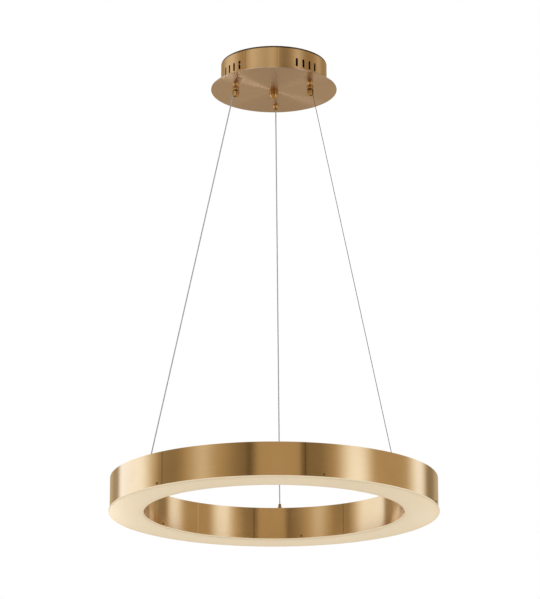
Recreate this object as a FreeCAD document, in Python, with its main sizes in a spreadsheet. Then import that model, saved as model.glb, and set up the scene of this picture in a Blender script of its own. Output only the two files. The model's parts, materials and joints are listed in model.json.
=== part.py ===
"""Ring chandelier: a gold ring lamp on three taut cables under a vented round canopy.

Frame: millimetres, origin at the centre of the ceiling face, +Z up, so the lamp hangs below z = 0.
The three cables leave the canopy at 90, 210 and 330 degrees and lean out to the ring.
"""

import FreeCAD, Part
import math
import os
import Sketcher
from FreeCAD import Placement, Rotation, Vector

# ---------------------------------------------------------------- driving sizes, in mm and degrees
SIZES = (
    # ceiling plate, the part that is screwed to the ceiling
    ("ceiling_plate_thick", 1.5),
    ("ceiling_plate_inset", 0.6),       # the plate's edge stands this far inside the can's wall
    ("ceiling_hole_circle", 65.0),      # radius of the circle of fixing holes
    ("ceiling_hole_radius", 2.6),
    ("ceiling_hole_count", 4),
    ("ceiling_hole_start", 10.0),
    ("mains_hole_radius", 8.0),
    ("mains_hole_x", 40.0),
    ("mains_hole_y", 42.0),
    # canopy: a round plate that carries a vented can
    ("canopy_plate_radius", 120.0),
    ("canopy_plate_thick", 1.5),
    ("can_radius", 101.0),
    ("can_wall", 1.0),
    ("can_tall", 48.5),
    ("can_flange_wide", 10.0),
    ("vent_wide", 4.5),
    ("vent_long", 17.0),
    ("vent_rise", 11.9),                # from the foot of the can to the foot of a vent
    ("vent_step", 8.2),                 # degrees from one vent to the next
    ("vent_count", 4),
    ("vent_groups", 4),
    ("vent_start", 27.85),              # azimuth of the first vent
    # studs and nuts inside the canopy
    ("canopy_stud_inset", 6.0),         # of a stud from the can's outer face
    ("canopy_stud_radius", 1.5),
    ("canopy_stud_tall", 6.0),
    ("canopy_stud_count", 4),
    ("small_nut_flats", 5.5),
    ("small_nut_thick", 2.4),
    # centre stud with the domed nut that holds the canopy up
    ("centre_stud_radius", 4.0),
    ("centre_stud_reach", 11.0),        # how far it stands out below the canopy plate
    ("weld_nut_flats", 13.0),
    ("weld_nut_thick", 6.5),
    ("cap_washer_radius", 9.2),
    ("cap_washer_thick", 1.0),
    ("cap_nut_radius", 8.3),
    ("cap_nut_tall", 16.0),
    ("cap_nut_dome", 8.1),
    ("cap_nut_bevel", 0.8),
    ("cap_nut_bore_deep", 12.0),
    ("thread_clearance", 0.08),
    # the three fittings on the canopy plate
    ("fitting_inset", 19.5),            # of a fitting's axis from the can's outer face
    ("fitting_start", 90.0),
    ("fitting_count", 3),
    ("fitting_stem_radius", 5.0),
    ("fitting_stem_rise", 7.0),         # how far a stem stands above the plate's underside
    ("fitting_flange_radius", 6.5),
    ("fitting_flange_thick", 1.2),
    ("fitting_hole_clearance", 0.1),
    ("lock_nut_flats", 14.0),
    ("lock_nut_thick", 4.0),
    ("collar_cone_radius", 5.8),
    ("collar_waist_radius", 3.5),
    ("collar_spigot_radius", 4.0),
    ("collar_cone_foot", 5.0),          # depths below the plate's underside
    ("barrel_head", 6.0),
    ("collar_spigot_foot", 8.0),
    ("barrel_wall", 0.8),
    ("barrel_chamfer", 1.4),
    ("barrel_seat", 12.0),              # of the spring, inside the barrel's skirt
    ("barrel_foot", 14.6),
    ("barrel_floor_thick", 1.4),
    ("ball_chamber_radius", 4.25),
    ("guide_radius", 4.2),
    ("guide_bore_radius", 3.1),
    ("guide_foot", 23.0),
    ("guide_slot_over", 0.4),           # how far the slot reaches past the guide
    ("cable_slot_wide", 2.9),
    ("ball_radius", 0.9),
    ("ball_seat_gap", 0.1),
    ("clip_radius", 4.9),
    ("clip_thick", 0.8),
    ("clip_groove_deep", 0.4),
    ("sleeve_travel", 2.2),
    ("sleeve_stop_gap", 0.3),
    ("sleeve_foot", 27.2),
    ("sleeve_floor_thick", 1.6),
    ("sleeve_round", 3.0),
    ("sleeve_clearance", 0.1),
    ("sleeve_clip_bore", 5.1),
    ("sleeve_hole_radius", 1.6),
    ("finger_radius", 2.9),
    ("spring_wire", 0.4),
    ("spring_foot", 15.4),              # where the sleeve's collar meets the spring
    ("spring_turns", 2),
    ("gland_throat_deep", 5.0),
    ("gland_foot", 9.0),
    ("gland_tip_radius", 3.5),
    ("stop_radius", 3.6),
    ("stop_half_tall", 2.8),
    ("stop_bevel", 1.2),
    ("stop_rise", 10.5),                # of the cable stop above the plate's underside
    ("grub_radius", 0.8),
    # cables
    ("cable_core_radius", 0.7),
    ("cable_jacket_radius", 1.15),
    ("cable_bore_gap", 0.25),
    ("cable_fit_gap", 0.02),
    ("cable_tail_height", 26.0),        # of the cut end above the plate's underside
    ("cable_stripped", 6.0),
    ("drop_travel", 18.0),              # how far up the ring can be set from where it hangs
    ("cable_ball_radius", 1.8),
    # ring
    ("ring_drop", 762.0),               # from the canopy plate's underside to the ring's top face
    ("ring_radius", 300.0),
    ("ring_wide", 60.0),                # between the outer faces of the two bands
    ("ring_tall", 60.0),
    ("band_thick", 1.0),
    ("ring_plate_thick", 1.5),
    ("weld_gap", 0.25),
    ("bush_inset", 12.0),               # of a bush's axis from the inner band's face
    ("bush_radius", 3.5),
    ("bush_tall", 5.0),
    ("bush_top_radius", 2.7),
    ("bush_top_tall", 5.0),
    ("bush_stem_radius", 3.0),
    ("bush_stem_long", 9.0),
    ("bush_bore_radius", 2.0),
    ("bush_shoulder_rise", 0.9),        # of the bore's shoulder above the ball's centre
    ("bush_shoulder_tall", 0.8),
    ("bush_pivot_rise", 5.5),           # of the ball's centre above the ring's top face
    ("bush_hole_clearance", 0.2),
    ("bush_nut_flats", 10.0),
    ("bush_nut_thick", 3.2),
    ("tag_radius", 5.2),
    ("tag_thick", 0.6),
    ("tag_tail_gap", 1.0),              # between a tag's tail and the board
    ("tag_tail_wide", 3.0),
    # diffuser and its screws
    ("diffuser_thick", 3.0),
    ("diffuser_overhang", 2.0),
    ("diffuser_upstand_tall", 9.5),
    ("diffuser_upstand_thick", 2.5),
    ("diffuser_gap", 0.1),
    ("screw_rise", 4.5),                # of a screw above the foot of a band
    ("screw_radius", 1.45),
    ("screw_hole_radius", 1.6),
    ("screw_head_radius", 2.3),
    ("screw_head_tall", 1.2),
    ("screw_long", 4.2),
    ("outer_screw_count", 6),
    ("outer_screw_start", 49.3),
    ("inner_screw_count", 5),
    ("inner_screw_start", 8.0),
    # light source
    ("board_bush_gap", 11.0),           # from a bush's axis to the board
    ("board_edge_gap", 11.0),           # from the board to the outer band's face
    ("board_thick", 1.6),
    ("board_screw_count", 12),
    ("board_screw_start", 20.0),
    ("chip_rows", 2),
    ("chips_in_row", 72),
    ("chip_row_step", 11.0),
    ("chip_long", 3.5),
    ("chip_wide", 2.8),
    ("chip_tall", 0.7),
    # driver, terminal block and leads in the canopy
    ("driver_long", 92.0),
    ("driver_wide", 34.0),
    ("driver_tall", 22.0),
    ("driver_y", -42.0),
    ("driver_ear_long", 8.0),
    ("driver_ear_wide", 14.0),
    ("driver_ear_thick", 2.0),
    ("driver_lid_thick", 1.2),
    ("driver_lid_inset", 2.0),
    ("terminal_long", 30.0),
    ("terminal_wide", 16.0),
    ("terminal_tall", 14.0),
    ("terminal_x", -30.0),
    ("terminal_y", 35.0),
    ("terminal_poles", 3),
    ("terminal_screw_radius", 1.8),
    ("terminal_screw_deep", 2.0),
    ("connector_long", 16.0),
    ("connector_wide", 12.0),
    ("connector_tall", 9.0),
    ("connector_x", 30.0),
    ("connector_y", 12.0),
    ("lead_radius", 1.1),
    ("lead_step", 6.0),
    ("mains_lead_reach", 14.0),         # straight part of a lead before its first bend
    ("output_lead_reach", 11.0),
    ("output_lead_rise", 4.0),          # of the driver's outlet above the connector's
)

doc = FreeCAD.newDocument("ring_chandelier")
sheet = doc.addObject("Spreadsheet::Sheet", "Sizes")


class Size:
    """A size that knows its number and the words that give it from the sheet."""

    def __init__(self, number, words):
        self.number = number
        self.words = words

    def joined(self, other, sign, swap=False):
        left, right = (size_of(other), self) if swap else (self, size_of(other))
        number = {
            "+": lambda a, b: a + b,
            "-": lambda a, b: a - b,
            "*": lambda a, b: a * b,
            "/": lambda a, b: a / b,
        }[sign](left.number, right.number)
        return Size(number, f"({left.words} {sign} {right.words})")

    def __add__(self, other):
        return self.joined(other, "+")

    def __radd__(self, other):
        return self.joined(other, "+", swap=True)

    def __sub__(self, other):
        return self.joined(other, "-")

    def __rsub__(self, other):
        return self.joined(other, "-", swap=True)

    def __mul__(self, other):
        return self.joined(other, "*")

    def __rmul__(self, other):
        return self.joined(other, "*", swap=True)

    def __truediv__(self, other):
        return self.joined(other, "/")

    def __rtruediv__(self, other):
        return self.joined(other, "/", swap=True)

    def __neg__(self):
        return 0 - self


def size_of(value):
    return value if isinstance(value, Size) else Size(value, repr(value))


def cosine(angle):
    angle = size_of(angle)
    return Size(math.cos(math.radians(angle.number)), f"cos({angle.words})")


def sine(angle):
    angle = size_of(angle)
    return Size(math.sin(math.radians(angle.number)), f"sin({angle.words})")


def angle_of_slope(slope):
    return Size(math.degrees(math.atan(slope.number)), f"atan({slope.words})")


def root(square):
    return Size(math.sqrt(square.number), f"sqrt({square.words})")


def read_sizes():
    """Writes the sheet and gives back each size under its alias."""
    sizes = {}
    for row, (alias, number) in enumerate(SIZES, 1):
        sheet.set(f"A{row}", alias)
        sheet.set(f"B{row}", str(number))
        sheet.setAlias(f"B{row}", alias)
        sizes[alias] = Size(number, f"Sizes.{alias}")
    doc.recompute()
    return sizes


class Sizes:
    """The sheet's sizes as attributes."""

    def __init__(self, sizes):
        self.__dict__.update(sizes)


S = Sizes(read_sizes())

# ---------------------------------------------------------------- heights and slopes worked out
can_top = -S.ceiling_plate_thick
plate_top = can_top - S.can_tall
plate_face = plate_top - S.canopy_plate_thick          # the canopy plate's underside
ring_top = plate_face - S.ring_drop
ring_foot = ring_top - S.ring_tall
ring_inner = S.ring_radius - S.ring_wide
bush_circle = ring_inner + S.bush_inset
board_inner = bush_circle + S.board_bush_gap
board_outer = S.ring_radius - S.board_edge_gap
pivot_height = ring_top + S.bush_pivot_rise
fitting_circle = S.can_radius - S.fitting_inset
cable_run = bush_circle - fitting_circle               # how far out a cable goes
cable_fall = plate_face - pivot_height                 # and how far down
lean_slope = cable_run / cable_fall
widest_slope = cable_run / (cable_fall - S.drop_travel)
lean = angle_of_slope(lean_slope)
jacket_bore = S.cable_jacket_radius + S.cable_bore_gap
core_bore = S.cable_core_radius + S.cable_bore_gap
FITTINGS = (("far", 0), ("left", 1), ("right", 2))
JACKETED = ("left", "far")
PIECES = []
TINY = 1e-6
BEND_SHARE = 0.45
ROUND_STEPS = 5
TUBE_SIDES = 10
CHORDS_PER_TURN = 12


# ---------------------------------------------------------------- ways of making a piece
def bind(piece, path, value):
    """Ties a property to the sheet."""
    piece.setExpression(path, size_of(value).words)


def new_body(label):
    made = doc.addObject("PartDesign::Body", label)
    made.Label = label
    PIECES.append(made)
    return made


def origin_feature(body, role):
    return next(f for f in body.Origin.OriginFeatures if f.Role == role)


def sketch_on(body, role, height=0):
    """A sketch on one of the body's own planes, moved along the plane's normal."""
    sketch = body.newObject("Sketcher::SketchObject", f"{body.Label}_sketch")
    sketch.AttachmentSupport = [(origin_feature(body, role), "")]
    sketch.MapMode = "FlatFace"
    if size_of(height).number:
        bind(sketch, "AttachmentOffset.Base.z", height)
    return sketch


def flat_sketch(body, height):
    return sketch_on(body, "XY_Plane", height)


def upright_sketch(body, azimuth, distance=0):
    """An upright sketch that faces outwards at an azimuth, at a distance from the Z axis."""
    sketch = sketch_on(body, "YZ_Plane")
    turned = Rotation(Vector(0, 1, 0), size_of(azimuth).number)
    sketch.AttachmentOffset = Placement(Vector(0, 0, 0), turned)
    bind(sketch, "AttachmentOffset.Rotation.Angle", azimuth)
    bind(sketch, "AttachmentOffset.Base.x", distance * sine(azimuth))
    bind(sketch, "AttachmentOffset.Base.z", distance * cosine(azimuth))
    return sketch


def tie_point(sketch, edge, point, corner):
    """Ties one point of a sketch to its two sizes."""
    for axis, on_axis, value in (("DistanceX", -2, corner[0]), ("DistanceY", -1, corner[1])):
        value = size_of(value)
        if abs(value.number) < TINY:
            sketch.addConstraint(Sketcher.Constraint("PointOnObject", edge, point, on_axis))
            continue
        tied = sketch.addConstraint(Sketcher.Constraint(axis, -1, 1, edge, point, value.number))
        bind(sketch, f"Constraints[{tied}]", value)


def draw_outline(sketch, corners):
    """A closed outline of straight edges whose corners are tied to the sheet."""
    first = sketch.GeometryCount
    points = [Vector(size_of(x).number, size_of(y).number, 0) for x, y in corners]
    count = len(points)
    for index, start in enumerate(points):
        sketch.addGeometry(Part.LineSegment(start, points[(index + 1) % count]), False)
    for index in range(count):
        following = first + (index + 1) % count
        sketch.addConstraint(Sketcher.Constraint("Coincident", first + index, 2, following, 1))
    for index, corner in enumerate(corners):
        tie_point(sketch, first + index, 1, corner)
    return sketch


def draw_circle(sketch, radius, x=0, y=0):
    radius = size_of(radius)
    centre = Vector(size_of(x).number, size_of(y).number, 0)
    edge = sketch.addGeometry(Part.Circle(centre, Vector(0, 0, 1), radius.number), False)
    tie_point(sketch, edge, 3, (x, y))
    tied = sketch.addConstraint(Sketcher.Constraint("Radius", edge, radius.number))
    bind(sketch, f"Constraints[{tied}]", radius)
    return sketch


def rectangle(low_x, high_x, low_y, high_y):
    return [(low_x, low_y), (high_x, low_y), (high_x, high_y), (low_x, high_y)]


def slot_band(reach, wide):
    """A slot from the axis outwards along +X."""
    return rectangle(0, reach, -wide / 2, wide / 2)


def turn(body, corners):
    """Adds what a profile of (radius, height) corners sweeps about the body's Z axis."""
    sketch = draw_outline(sketch_on(body, "XZ_Plane"), corners)
    made = body.newObject("PartDesign::Revolution", f"{body.Label}_turned")
    made.Profile = sketch
    made.ReferenceAxis = (sketch, ["V_Axis"])
    made.Angle = 360
    doc.recompute()
    return made


def pad(body, sketch, tall):
    """Adds a prism from a sketch, along the sketch's normal."""
    made = body.newObject("PartDesign::Pad", f"{body.Label}_pad")
    made.Profile = sketch
    bind(made, "Length", tall)
    doc.recompute()
    return made


def cut(body, sketch, deep):
    """Cuts along the sketch's normal, and makes sure that this takes something away."""
    before = body.Shape.Volume
    made = body.newObject("PartDesign::Pocket", f"{body.Label}_cut")
    made.Profile = sketch
    made.Reversed = True
    bind(made, "Length", deep)
    doc.recompute()
    if not body.Shape.Volume < before - TINY:
        raise ValueError(f"{body.Label}: a cut took nothing away")
    return made


def polar_step(body, count, angle):
    made = body.newObject("PartDesign::PolarPattern", f"{body.Label}_pattern")
    made.Axis = (origin_feature(body, "Z_Axis"), [""])
    bind(made, "Angle", angle)
    bind(made, "Occurrences", count)
    return made


def pattern(body, feature, count):
    """Repeats a feature all round the body's Z axis."""
    made = polar_step(body, count, 360)
    made.Originals = [feature]
    body.Tip = made
    doc.recompute()
    return made


def quarter_round(radius, foot, amount):
    """Profile corners that round a piece's lower outer edge in flat steps."""
    corners = []
    for step in range(ROUND_STEPS + 1):
        angle = step * 90 / ROUND_STEPS
        out = radius - amount + amount * sine(angle)
        corners.append((out, foot + amount - amount * cosine(angle)))
    return corners


def put(body, radius, azimuth, height):
    """Ties where a body's own origin stands."""
    bind(body, "Placement.Base.x", radius * cosine(azimuth))
    bind(body, "Placement.Base.y", radius * sine(azimuth))
    bind(body, "Placement.Base.z", height)


def stand(body, radius, azimuth, height):
    """Stands a body upright at a radius and an azimuth, with its own +X pointing outwards."""
    body.Placement.Rotation = Rotation(Vector(0, 0, 1), size_of(azimuth).number)
    bind(body, "Placement.Rotation.Angle", azimuth)
    put(body, radius, azimuth, height)


def lay_along_cable(body, radius, azimuth, height):
    """Lays a body's own Z along the cable at an azimuth, with its own +X pointing outwards."""
    at = size_of(azimuth).number
    across = Vector(math.sin(math.radians(at)), -math.cos(math.radians(at)), 0)
    body.Placement.Rotation = Rotation(across, lean.number) * Rotation(Vector(0, 0, 1), at)
    put(body, radius, azimuth, height)


def hexagon(flats, x=0, y=0):
    corner = flats / (2 * cosine(30))
    return [(x + corner * cosine(60 * side), y + corner * sine(60 * side)) for side in range(6)]


def hex_nut(label, flats, bore, foot, thick):
    body = new_body(label)
    pad(body, draw_outline(flat_sketch(body, foot), hexagon(flats)), thick)
    cut(body, draw_circle(flat_sketch(body, foot), bore), thick)
    return body


def fitting_azimuth(number):
    return S.fitting_start + number * 360 / S.fitting_count


def solid_group(label, shapes):
    """A sub-part whose shape is made straight from solids."""
    made = doc.addObject("Part::Feature", label)
    made.Label = label
    made.Shape = shapes[0] if len(shapes) == 1 else Part.makeCompound(shapes)
    PIECES.append(made)
    return made


def round_section(centre, forward, radius):
    """A many-sided outline of a wire or lead, square to its path."""
    facing = Rotation(Vector(0, 0, 1), forward)
    corners = []
    for side in range(TUBE_SIDES + 1):
        angle = 2 * math.pi * side / TUBE_SIDES
        flat = Vector(radius * math.cos(angle), radius * math.sin(angle), 0)
        corners.append(centre + facing.multVec(flat))
    corners[-1] = corners[0]
    return Part.makePolygon(corners)


def tube_along(points, radius):
    """A round lead along straight runs joined by tangent arcs."""
    edges = []
    start = points[0]
    for before, corner, after in zip(points, points[1:], points[2:]):
        back, ahead = before - corner, after - corner
        half_turn = (math.pi - back.getAngle(ahead)) / 2
        reach = BEND_SHARE * min(back.Length, ahead.Length)
        bend = reach / math.tan(half_turn)
        back.normalize()
        ahead.normalize()
        middle = back + ahead
        middle.normalize()
        nearest = corner + middle * (bend / math.cos(half_turn) - bend)
        edges.append(Part.LineSegment(start, corner + back * reach).toShape())
        edges.append(Part.Arc(corner + back * reach, nearest, corner + ahead * reach).toShape())
        start = corner + ahead * reach
        print(f"lead bend radius {bend:.1f} mm")
    edges.append(Part.LineSegment(start, points[-1]).toShape())
    path = Part.Wire(edges)
    section = round_section(points[0], points[1] - points[0], radius)
    tube = path.makePipeShell([section], True, False)
    wanted = Part.Face(section).Area * path.Length
    if abs(tube.Volume - wanted) > 0.01 * wanted:
        raise ValueError("a lead's volume differs from its section times its length")
    return tube


# ---------------------------------------------------------------- ceiling plate and centre stud
def make_ceiling_plate():
    body = new_body("ceiling_plate")
    radius = S.can_radius - S.ceiling_plate_inset
    turn(body, rectangle(0, radius, can_top, 0))
    at_x = S.ceiling_hole_circle * cosine(S.ceiling_hole_start)
    at_y = S.ceiling_hole_circle * sine(S.ceiling_hole_start)
    sketch = draw_circle(flat_sketch(body, can_top), S.ceiling_hole_radius, at_x, at_y)
    pattern(body, cut(body, sketch, S.ceiling_plate_thick), S.ceiling_hole_count)
    sketch = draw_circle(
        flat_sketch(body, can_top), S.mains_hole_radius, S.mains_hole_x, S.mains_hole_y
    )
    cut(body, sketch, S.ceiling_plate_thick)


def make_centre_stud():
    body = new_body("centre_stud")
    turn(body, rectangle(0, S.centre_stud_radius, plate_face - S.centre_stud_reach, can_top))
    bore = S.centre_stud_radius + S.thread_clearance
    foot = can_top - S.weld_nut_thick
    hex_nut("stud_weld_nut", S.weld_nut_flats, bore, foot, S.weld_nut_thick)


# ---------------------------------------------------------------- canopy
def make_canopy_plate():
    body = new_body("canopy_plate")
    hole = S.centre_stud_radius + S.fitting_hole_clearance
    turn(body, rectangle(hole, S.canopy_plate_radius, plate_face, plate_top))
    hole = S.fitting_stem_radius + S.fitting_hole_clearance
    for circle, number in ((gland_circle, 0), (fitting_circle, 1), (fitting_circle, 2)):
        at = fitting_azimuth(number)
        sketch = draw_circle(
            flat_sketch(body, plate_face), hole, circle * cosine(at), circle * sine(at)
        )
        cut(body, sketch, S.canopy_plate_thick)


def make_can():
    """The can is a rolled wall with an inward foot flange and four groups of vents."""
    body = new_body("canopy_can")
    inside = S.can_radius - S.can_wall
    flange = S.can_radius - S.can_flange_wide
    turn(body, [
        (flange, plate_top), (S.can_radius, plate_top), (S.can_radius, can_top),
        (inside, can_top), (inside, plate_top + S.can_wall), (flange, plate_top + S.can_wall),
    ])
    half = S.vent_wide / 2
    low = plate_top + S.vent_rise + half
    high = plate_top + S.vent_rise + S.vent_long - half
    near = inside - S.can_wall
    deep = 3 * S.can_wall
    start = S.vent_start
    outlines = [
        draw_outline(upright_sketch(body, start, near), rectangle(-half, half, low, high)),
        draw_circle(upright_sketch(body, start, near), half, 0, low),
        draw_circle(upright_sketch(body, start, near), half, 0, high),
    ]
    vent = [cut(body, sketch, deep) for sketch in outlines]
    repeat = body.newObject("PartDesign::MultiTransform", "canopy_vents")
    repeat.Originals = vent
    repeat.Transformations = [
        polar_step(body, S.vent_count, S.vent_step * (S.vent_count - 1)),
        polar_step(body, S.vent_groups, 360),
    ]
    body.Tip = repeat
    doc.recompute()


def make_canopy_studs():
    """Studs welded to the plate, with nuts that hold the can's flange and the driver's ears."""
    ear = S.driver_long / 2 + S.driver_ear_long / 2
    seats = [(-ear, S.driver_y, S.driver_ear_thick), (ear, S.driver_y, S.driver_ear_thick)]
    stud_circle = S.can_radius - S.canopy_stud_inset
    for number in range(S.canopy_stud_count.number):
        at = number * 360 / S.canopy_stud_count
        x = stud_circle * cosine(at)
        y = stud_circle * sine(at)
        seats.append((x, y, S.can_wall))
    studs = new_body("canopy_studs")
    nuts = new_body("canopy_stud_nuts")
    bore = S.canopy_stud_radius + S.thread_clearance
    for x, y, clamped in seats:
        sketch = draw_circle(flat_sketch(studs, plate_top), S.canopy_stud_radius, x, y)
        pad(studs, sketch, S.canopy_stud_tall)
        foot = plate_top + clamped
        sketch = draw_outline(flat_sketch(nuts, foot), hexagon(S.small_nut_flats, x, y))
        pad(nuts, sketch, S.small_nut_thick)
        cut(nuts, draw_circle(flat_sketch(nuts, foot), bore, x, y), S.small_nut_thick)
    can = doc.getObject("canopy_can")
    for x, y, clamped in seats[2:]:
        sketch = draw_circle(flat_sketch(can, plate_top), bore, x, y)
        cut(can, sketch, S.can_wall)


def make_cap_nut():
    washer = new_body("cap_washer")
    foot = plate_face - S.cap_washer_thick
    hole = S.centre_stud_radius + S.fitting_hole_clearance
    turn(washer, rectangle(hole, S.cap_washer_radius, foot, plate_face))
    body = new_body("cap_nut")
    low = foot - S.cap_nut_tall
    bore = S.centre_stud_radius + S.thread_clearance
    roof = foot - S.cap_nut_bore_deep
    dome = quarter_round(S.cap_nut_radius, low, S.cap_nut_dome)
    turn(body, [(0, low)] + dome + [
        (S.cap_nut_radius, foot - S.cap_nut_bevel),
        (S.cap_nut_radius - S.cap_nut_bevel, foot),
        (bore, foot),
        (bore, roof),
        (0, roof),
    ])


# ---------------------------------------------------------------- fittings on the canopy plate
# Heights here are from the canopy plate's underside.
def flared(depth):
    """Bore radius that clears a jacketed cable at a distance from the throat, however it leans."""
    return jacket_bore + depth * widest_slope


gland_circle = fitting_circle + S.gland_throat_deep * lean_slope
barrel_floor = S.barrel_floor_thick - S.barrel_seat
ball_height = barrel_floor + S.ball_radius + S.ball_seat_gap
spring_radius = flared(S.spring_foot) + S.spring_wire / 2
skirt_bore = spring_radius + S.spring_wire / 2 + S.sleeve_clearance
barrel_radius = skirt_bore + S.barrel_wall
sleeve_top = -(S.barrel_foot + S.sleeve_travel + S.sleeve_stop_gap)
sleeve_floor = S.sleeve_floor_thick - S.sleeve_foot
clip_top = 2 * S.clip_thick - S.guide_foot
finger_top = ball_height - S.ball_radius - S.sleeve_travel - S.ball_seat_gap


def make_collar(side, azimuth):
    """Hollow screw through the canopy plate: flange and cone below, stem above, waisted bore."""
    body = new_body(f"gripper_{side}_collar")
    turn(body, [
        (jacket_bore, 0),
        (flared(S.fitting_stem_rise), S.fitting_stem_rise),
        (S.fitting_stem_radius, S.fitting_stem_rise),
        (S.fitting_stem_radius, 0),
        (S.fitting_flange_radius, 0),
        (S.fitting_flange_radius, -S.fitting_flange_thick),
        (S.collar_cone_radius, -S.fitting_flange_thick),
        (S.collar_waist_radius, -S.collar_cone_foot),
        (S.collar_waist_radius, -S.barrel_head),
        (S.collar_spigot_radius, -S.barrel_head),
        (S.collar_spigot_radius, -S.collar_spigot_foot),
        (flared(S.collar_spigot_foot), -S.collar_spigot_foot),
    ])
    stand(body, fitting_circle, azimuth, plate_face)


def make_barrel(side, azimuth):
    """Ball chamber on top, spring skirt and slotted guide tube below, with a clip groove."""
    body = new_body(f"gripper_{side}_barrel")
    spigot = S.collar_spigot_radius + S.thread_clearance
    groove = S.guide_radius - S.clip_groove_deep
    groove_foot = clip_top - S.clip_thick - S.sleeve_clearance
    turn(body, [
        (spigot, -S.barrel_head),
        (barrel_radius - S.barrel_chamfer, -S.barrel_head),
        (barrel_radius, -S.barrel_head - S.barrel_chamfer),
        (barrel_radius, -S.barrel_foot),
        (skirt_bore, -S.barrel_foot),
        (skirt_bore, -S.barrel_seat),
        (S.guide_radius, -S.barrel_seat),
        (S.guide_radius, clip_top),
        (groove, clip_top),
        (groove, groove_foot),
        (S.guide_radius, groove_foot),
        (S.guide_radius, -S.guide_foot),
        (S.guide_bore_radius, -S.guide_foot),
        (S.guide_bore_radius, barrel_floor),
        (S.ball_chamber_radius, barrel_floor),
        (S.ball_chamber_radius, -S.collar_spigot_foot),
        (spigot, -S.collar_spigot_foot),
    ])
    sketch = flat_sketch(body, -S.guide_foot)
    draw_outline(sketch, slot_band(S.guide_radius + S.guide_slot_over, S.cable_slot_wide))
    cut(body, sketch, S.guide_foot + barrel_floor)
    stand(body, fitting_circle, azimuth, plate_face)


def make_clip(side, azimuth):
    """Open ring in the guide's groove, which stops the sleeve from falling off."""
    body = new_body(f"gripper_{side}_clip")
    inner = S.guide_radius - S.clip_groove_deep + S.cable_fit_gap
    foot = clip_top - S.clip_thick
    turn(body, rectangle(inner, S.clip_radius, foot, clip_top))
    sketch = draw_outline(flat_sketch(body, foot), slot_band(barrel_radius, S.cable_slot_wide))
    cut(body, sketch, S.clip_thick)
    stand(body, fitting_circle, azimuth, plate_face)


def make_sleeve(side, azimuth):
    """Release sleeve: pushed up, its two fingers come up under the balls and free the cable."""
    body = new_body(f"gripper_{side}_sleeve")
    foot = -S.sleeve_foot
    collar = skirt_bore - S.sleeve_clearance
    guide = S.guide_radius + S.sleeve_clearance
    turn(body, [(0, foot)] + quarter_round(barrel_radius, foot, S.sleeve_round) + [
        (barrel_radius, sleeve_top),
        (collar, sleeve_top),
        (collar, -S.spring_foot),
        (guide, -S.spring_foot),
        (guide, clip_top + S.sleeve_clearance),
        (S.sleeve_clip_bore, clip_top + S.sleeve_clearance),
        (S.sleeve_clip_bore, sleeve_floor),
        (0, sleeve_floor),
    ])
    pad(body, draw_circle(flat_sketch(body, sleeve_floor), S.finger_radius), finger_top - sleeve_floor)
    sketch = flat_sketch(body, sleeve_floor)
    half = S.cable_slot_wide / 2
    draw_outline(sketch, rectangle(-S.guide_bore_radius, S.guide_bore_radius, -half, half))
    cut(body, sketch, finger_top - sleeve_floor)
    sketch = flat_sketch(body, foot)
    draw_outline(sketch, slot_band(2 * barrel_radius, S.cable_slot_wide))
    cut(body, sketch, -S.spring_foot - foot)
    cut(body, draw_circle(flat_sketch(body, foot), S.sleeve_hole_radius), S.sleeve_floor_thick)
    stand(body, fitting_circle, azimuth, plate_face)


def make_balls(side, azimuth):
    """A pair of steel balls, one on each side of the leaning cable."""
    radius = S.cable_jacket_radius if side in JACKETED else S.cable_core_radius
    out = fitting_circle - ball_height * lean_slope
    aside = radius + S.ball_seat_gap + S.ball_radius
    balls = []
    for sign in (-1, 1):
        ball = doc.addObject("Part::Sphere", f"gripper_{side}_ball")
        bind(ball, "Radius", S.ball_radius)
        bind(ball, "Placement.Base.x", out * cosine(azimuth) - sign * aside * sine(azimuth))
        bind(ball, "Placement.Base.y", out * sine(azimuth) + sign * aside * cosine(azimuth))
        bind(ball, "Placement.Base.z", plate_face + ball_height)
        balls.append(ball)
    pair = doc.addObject("Part::Compound", f"gripper_{side}_balls")
    pair.Label = f"gripper_{side}_balls"
    pair.Links = balls
    PIECES.append(pair)


def make_spring(side, azimuth):
    """Coil spring round the guide, from the barrel's seat to the sleeve's collar."""
    wire = S.spring_wire.number / 2
    seat_gap = S.ball_seat_gap.number
    top = -S.barrel_seat.number - wire - seat_gap
    foot = -S.spring_foot.number + wire + seat_gap
    middle = spring_radius.number
    chords = CHORDS_PER_TURN * S.spring_turns.number
    points = []
    for step in range(chords + 1):
        angle = 2 * math.pi * step / CHORDS_PER_TURN
        height = foot + (top - foot) * step / chords
        points.append(Vector(middle * math.cos(angle), middle * math.sin(angle), height))
    path = Part.makePolygon(points)
    section = round_section(points[0], points[1] - points[0], wire)
    coil = path.makePipeShell([section], True, True, 1)
    piece = solid_group(f"gripper_{side}_spring", [coil])
    least = (top - foot) / S.spring_turns.number - 2 * wire
    print(f"{piece.Label}: least gap between its turns {least:.2f} mm")
    at = math.radians(azimuth.number)
    out = fitting_circle.number
    base = Vector(out * math.cos(at), out * math.sin(at), plate_face.number)
    piece.Placement = Placement(base, Rotation(Vector(0, 0, 1), azimuth.number))


def make_lock_nut(label, circle, azimuth):
    bore = S.fitting_stem_radius + S.thread_clearance
    body = hex_nut(label, S.lock_nut_flats, bore, S.canopy_plate_thick, S.lock_nut_thick)
    stand(body, circle, azimuth, plate_face)


def make_gripper(side, number):
    azimuth = fitting_azimuth(number)
    make_collar(side, azimuth)
    make_lock_nut(f"gripper_{side}_lock_nut", fitting_circle, azimuth)
    make_barrel(side, azimuth)
    make_balls(side, azimuth)
    make_clip(side, azimuth)
    make_spring(side, azimuth)
    make_sleeve(side, azimuth)


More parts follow.
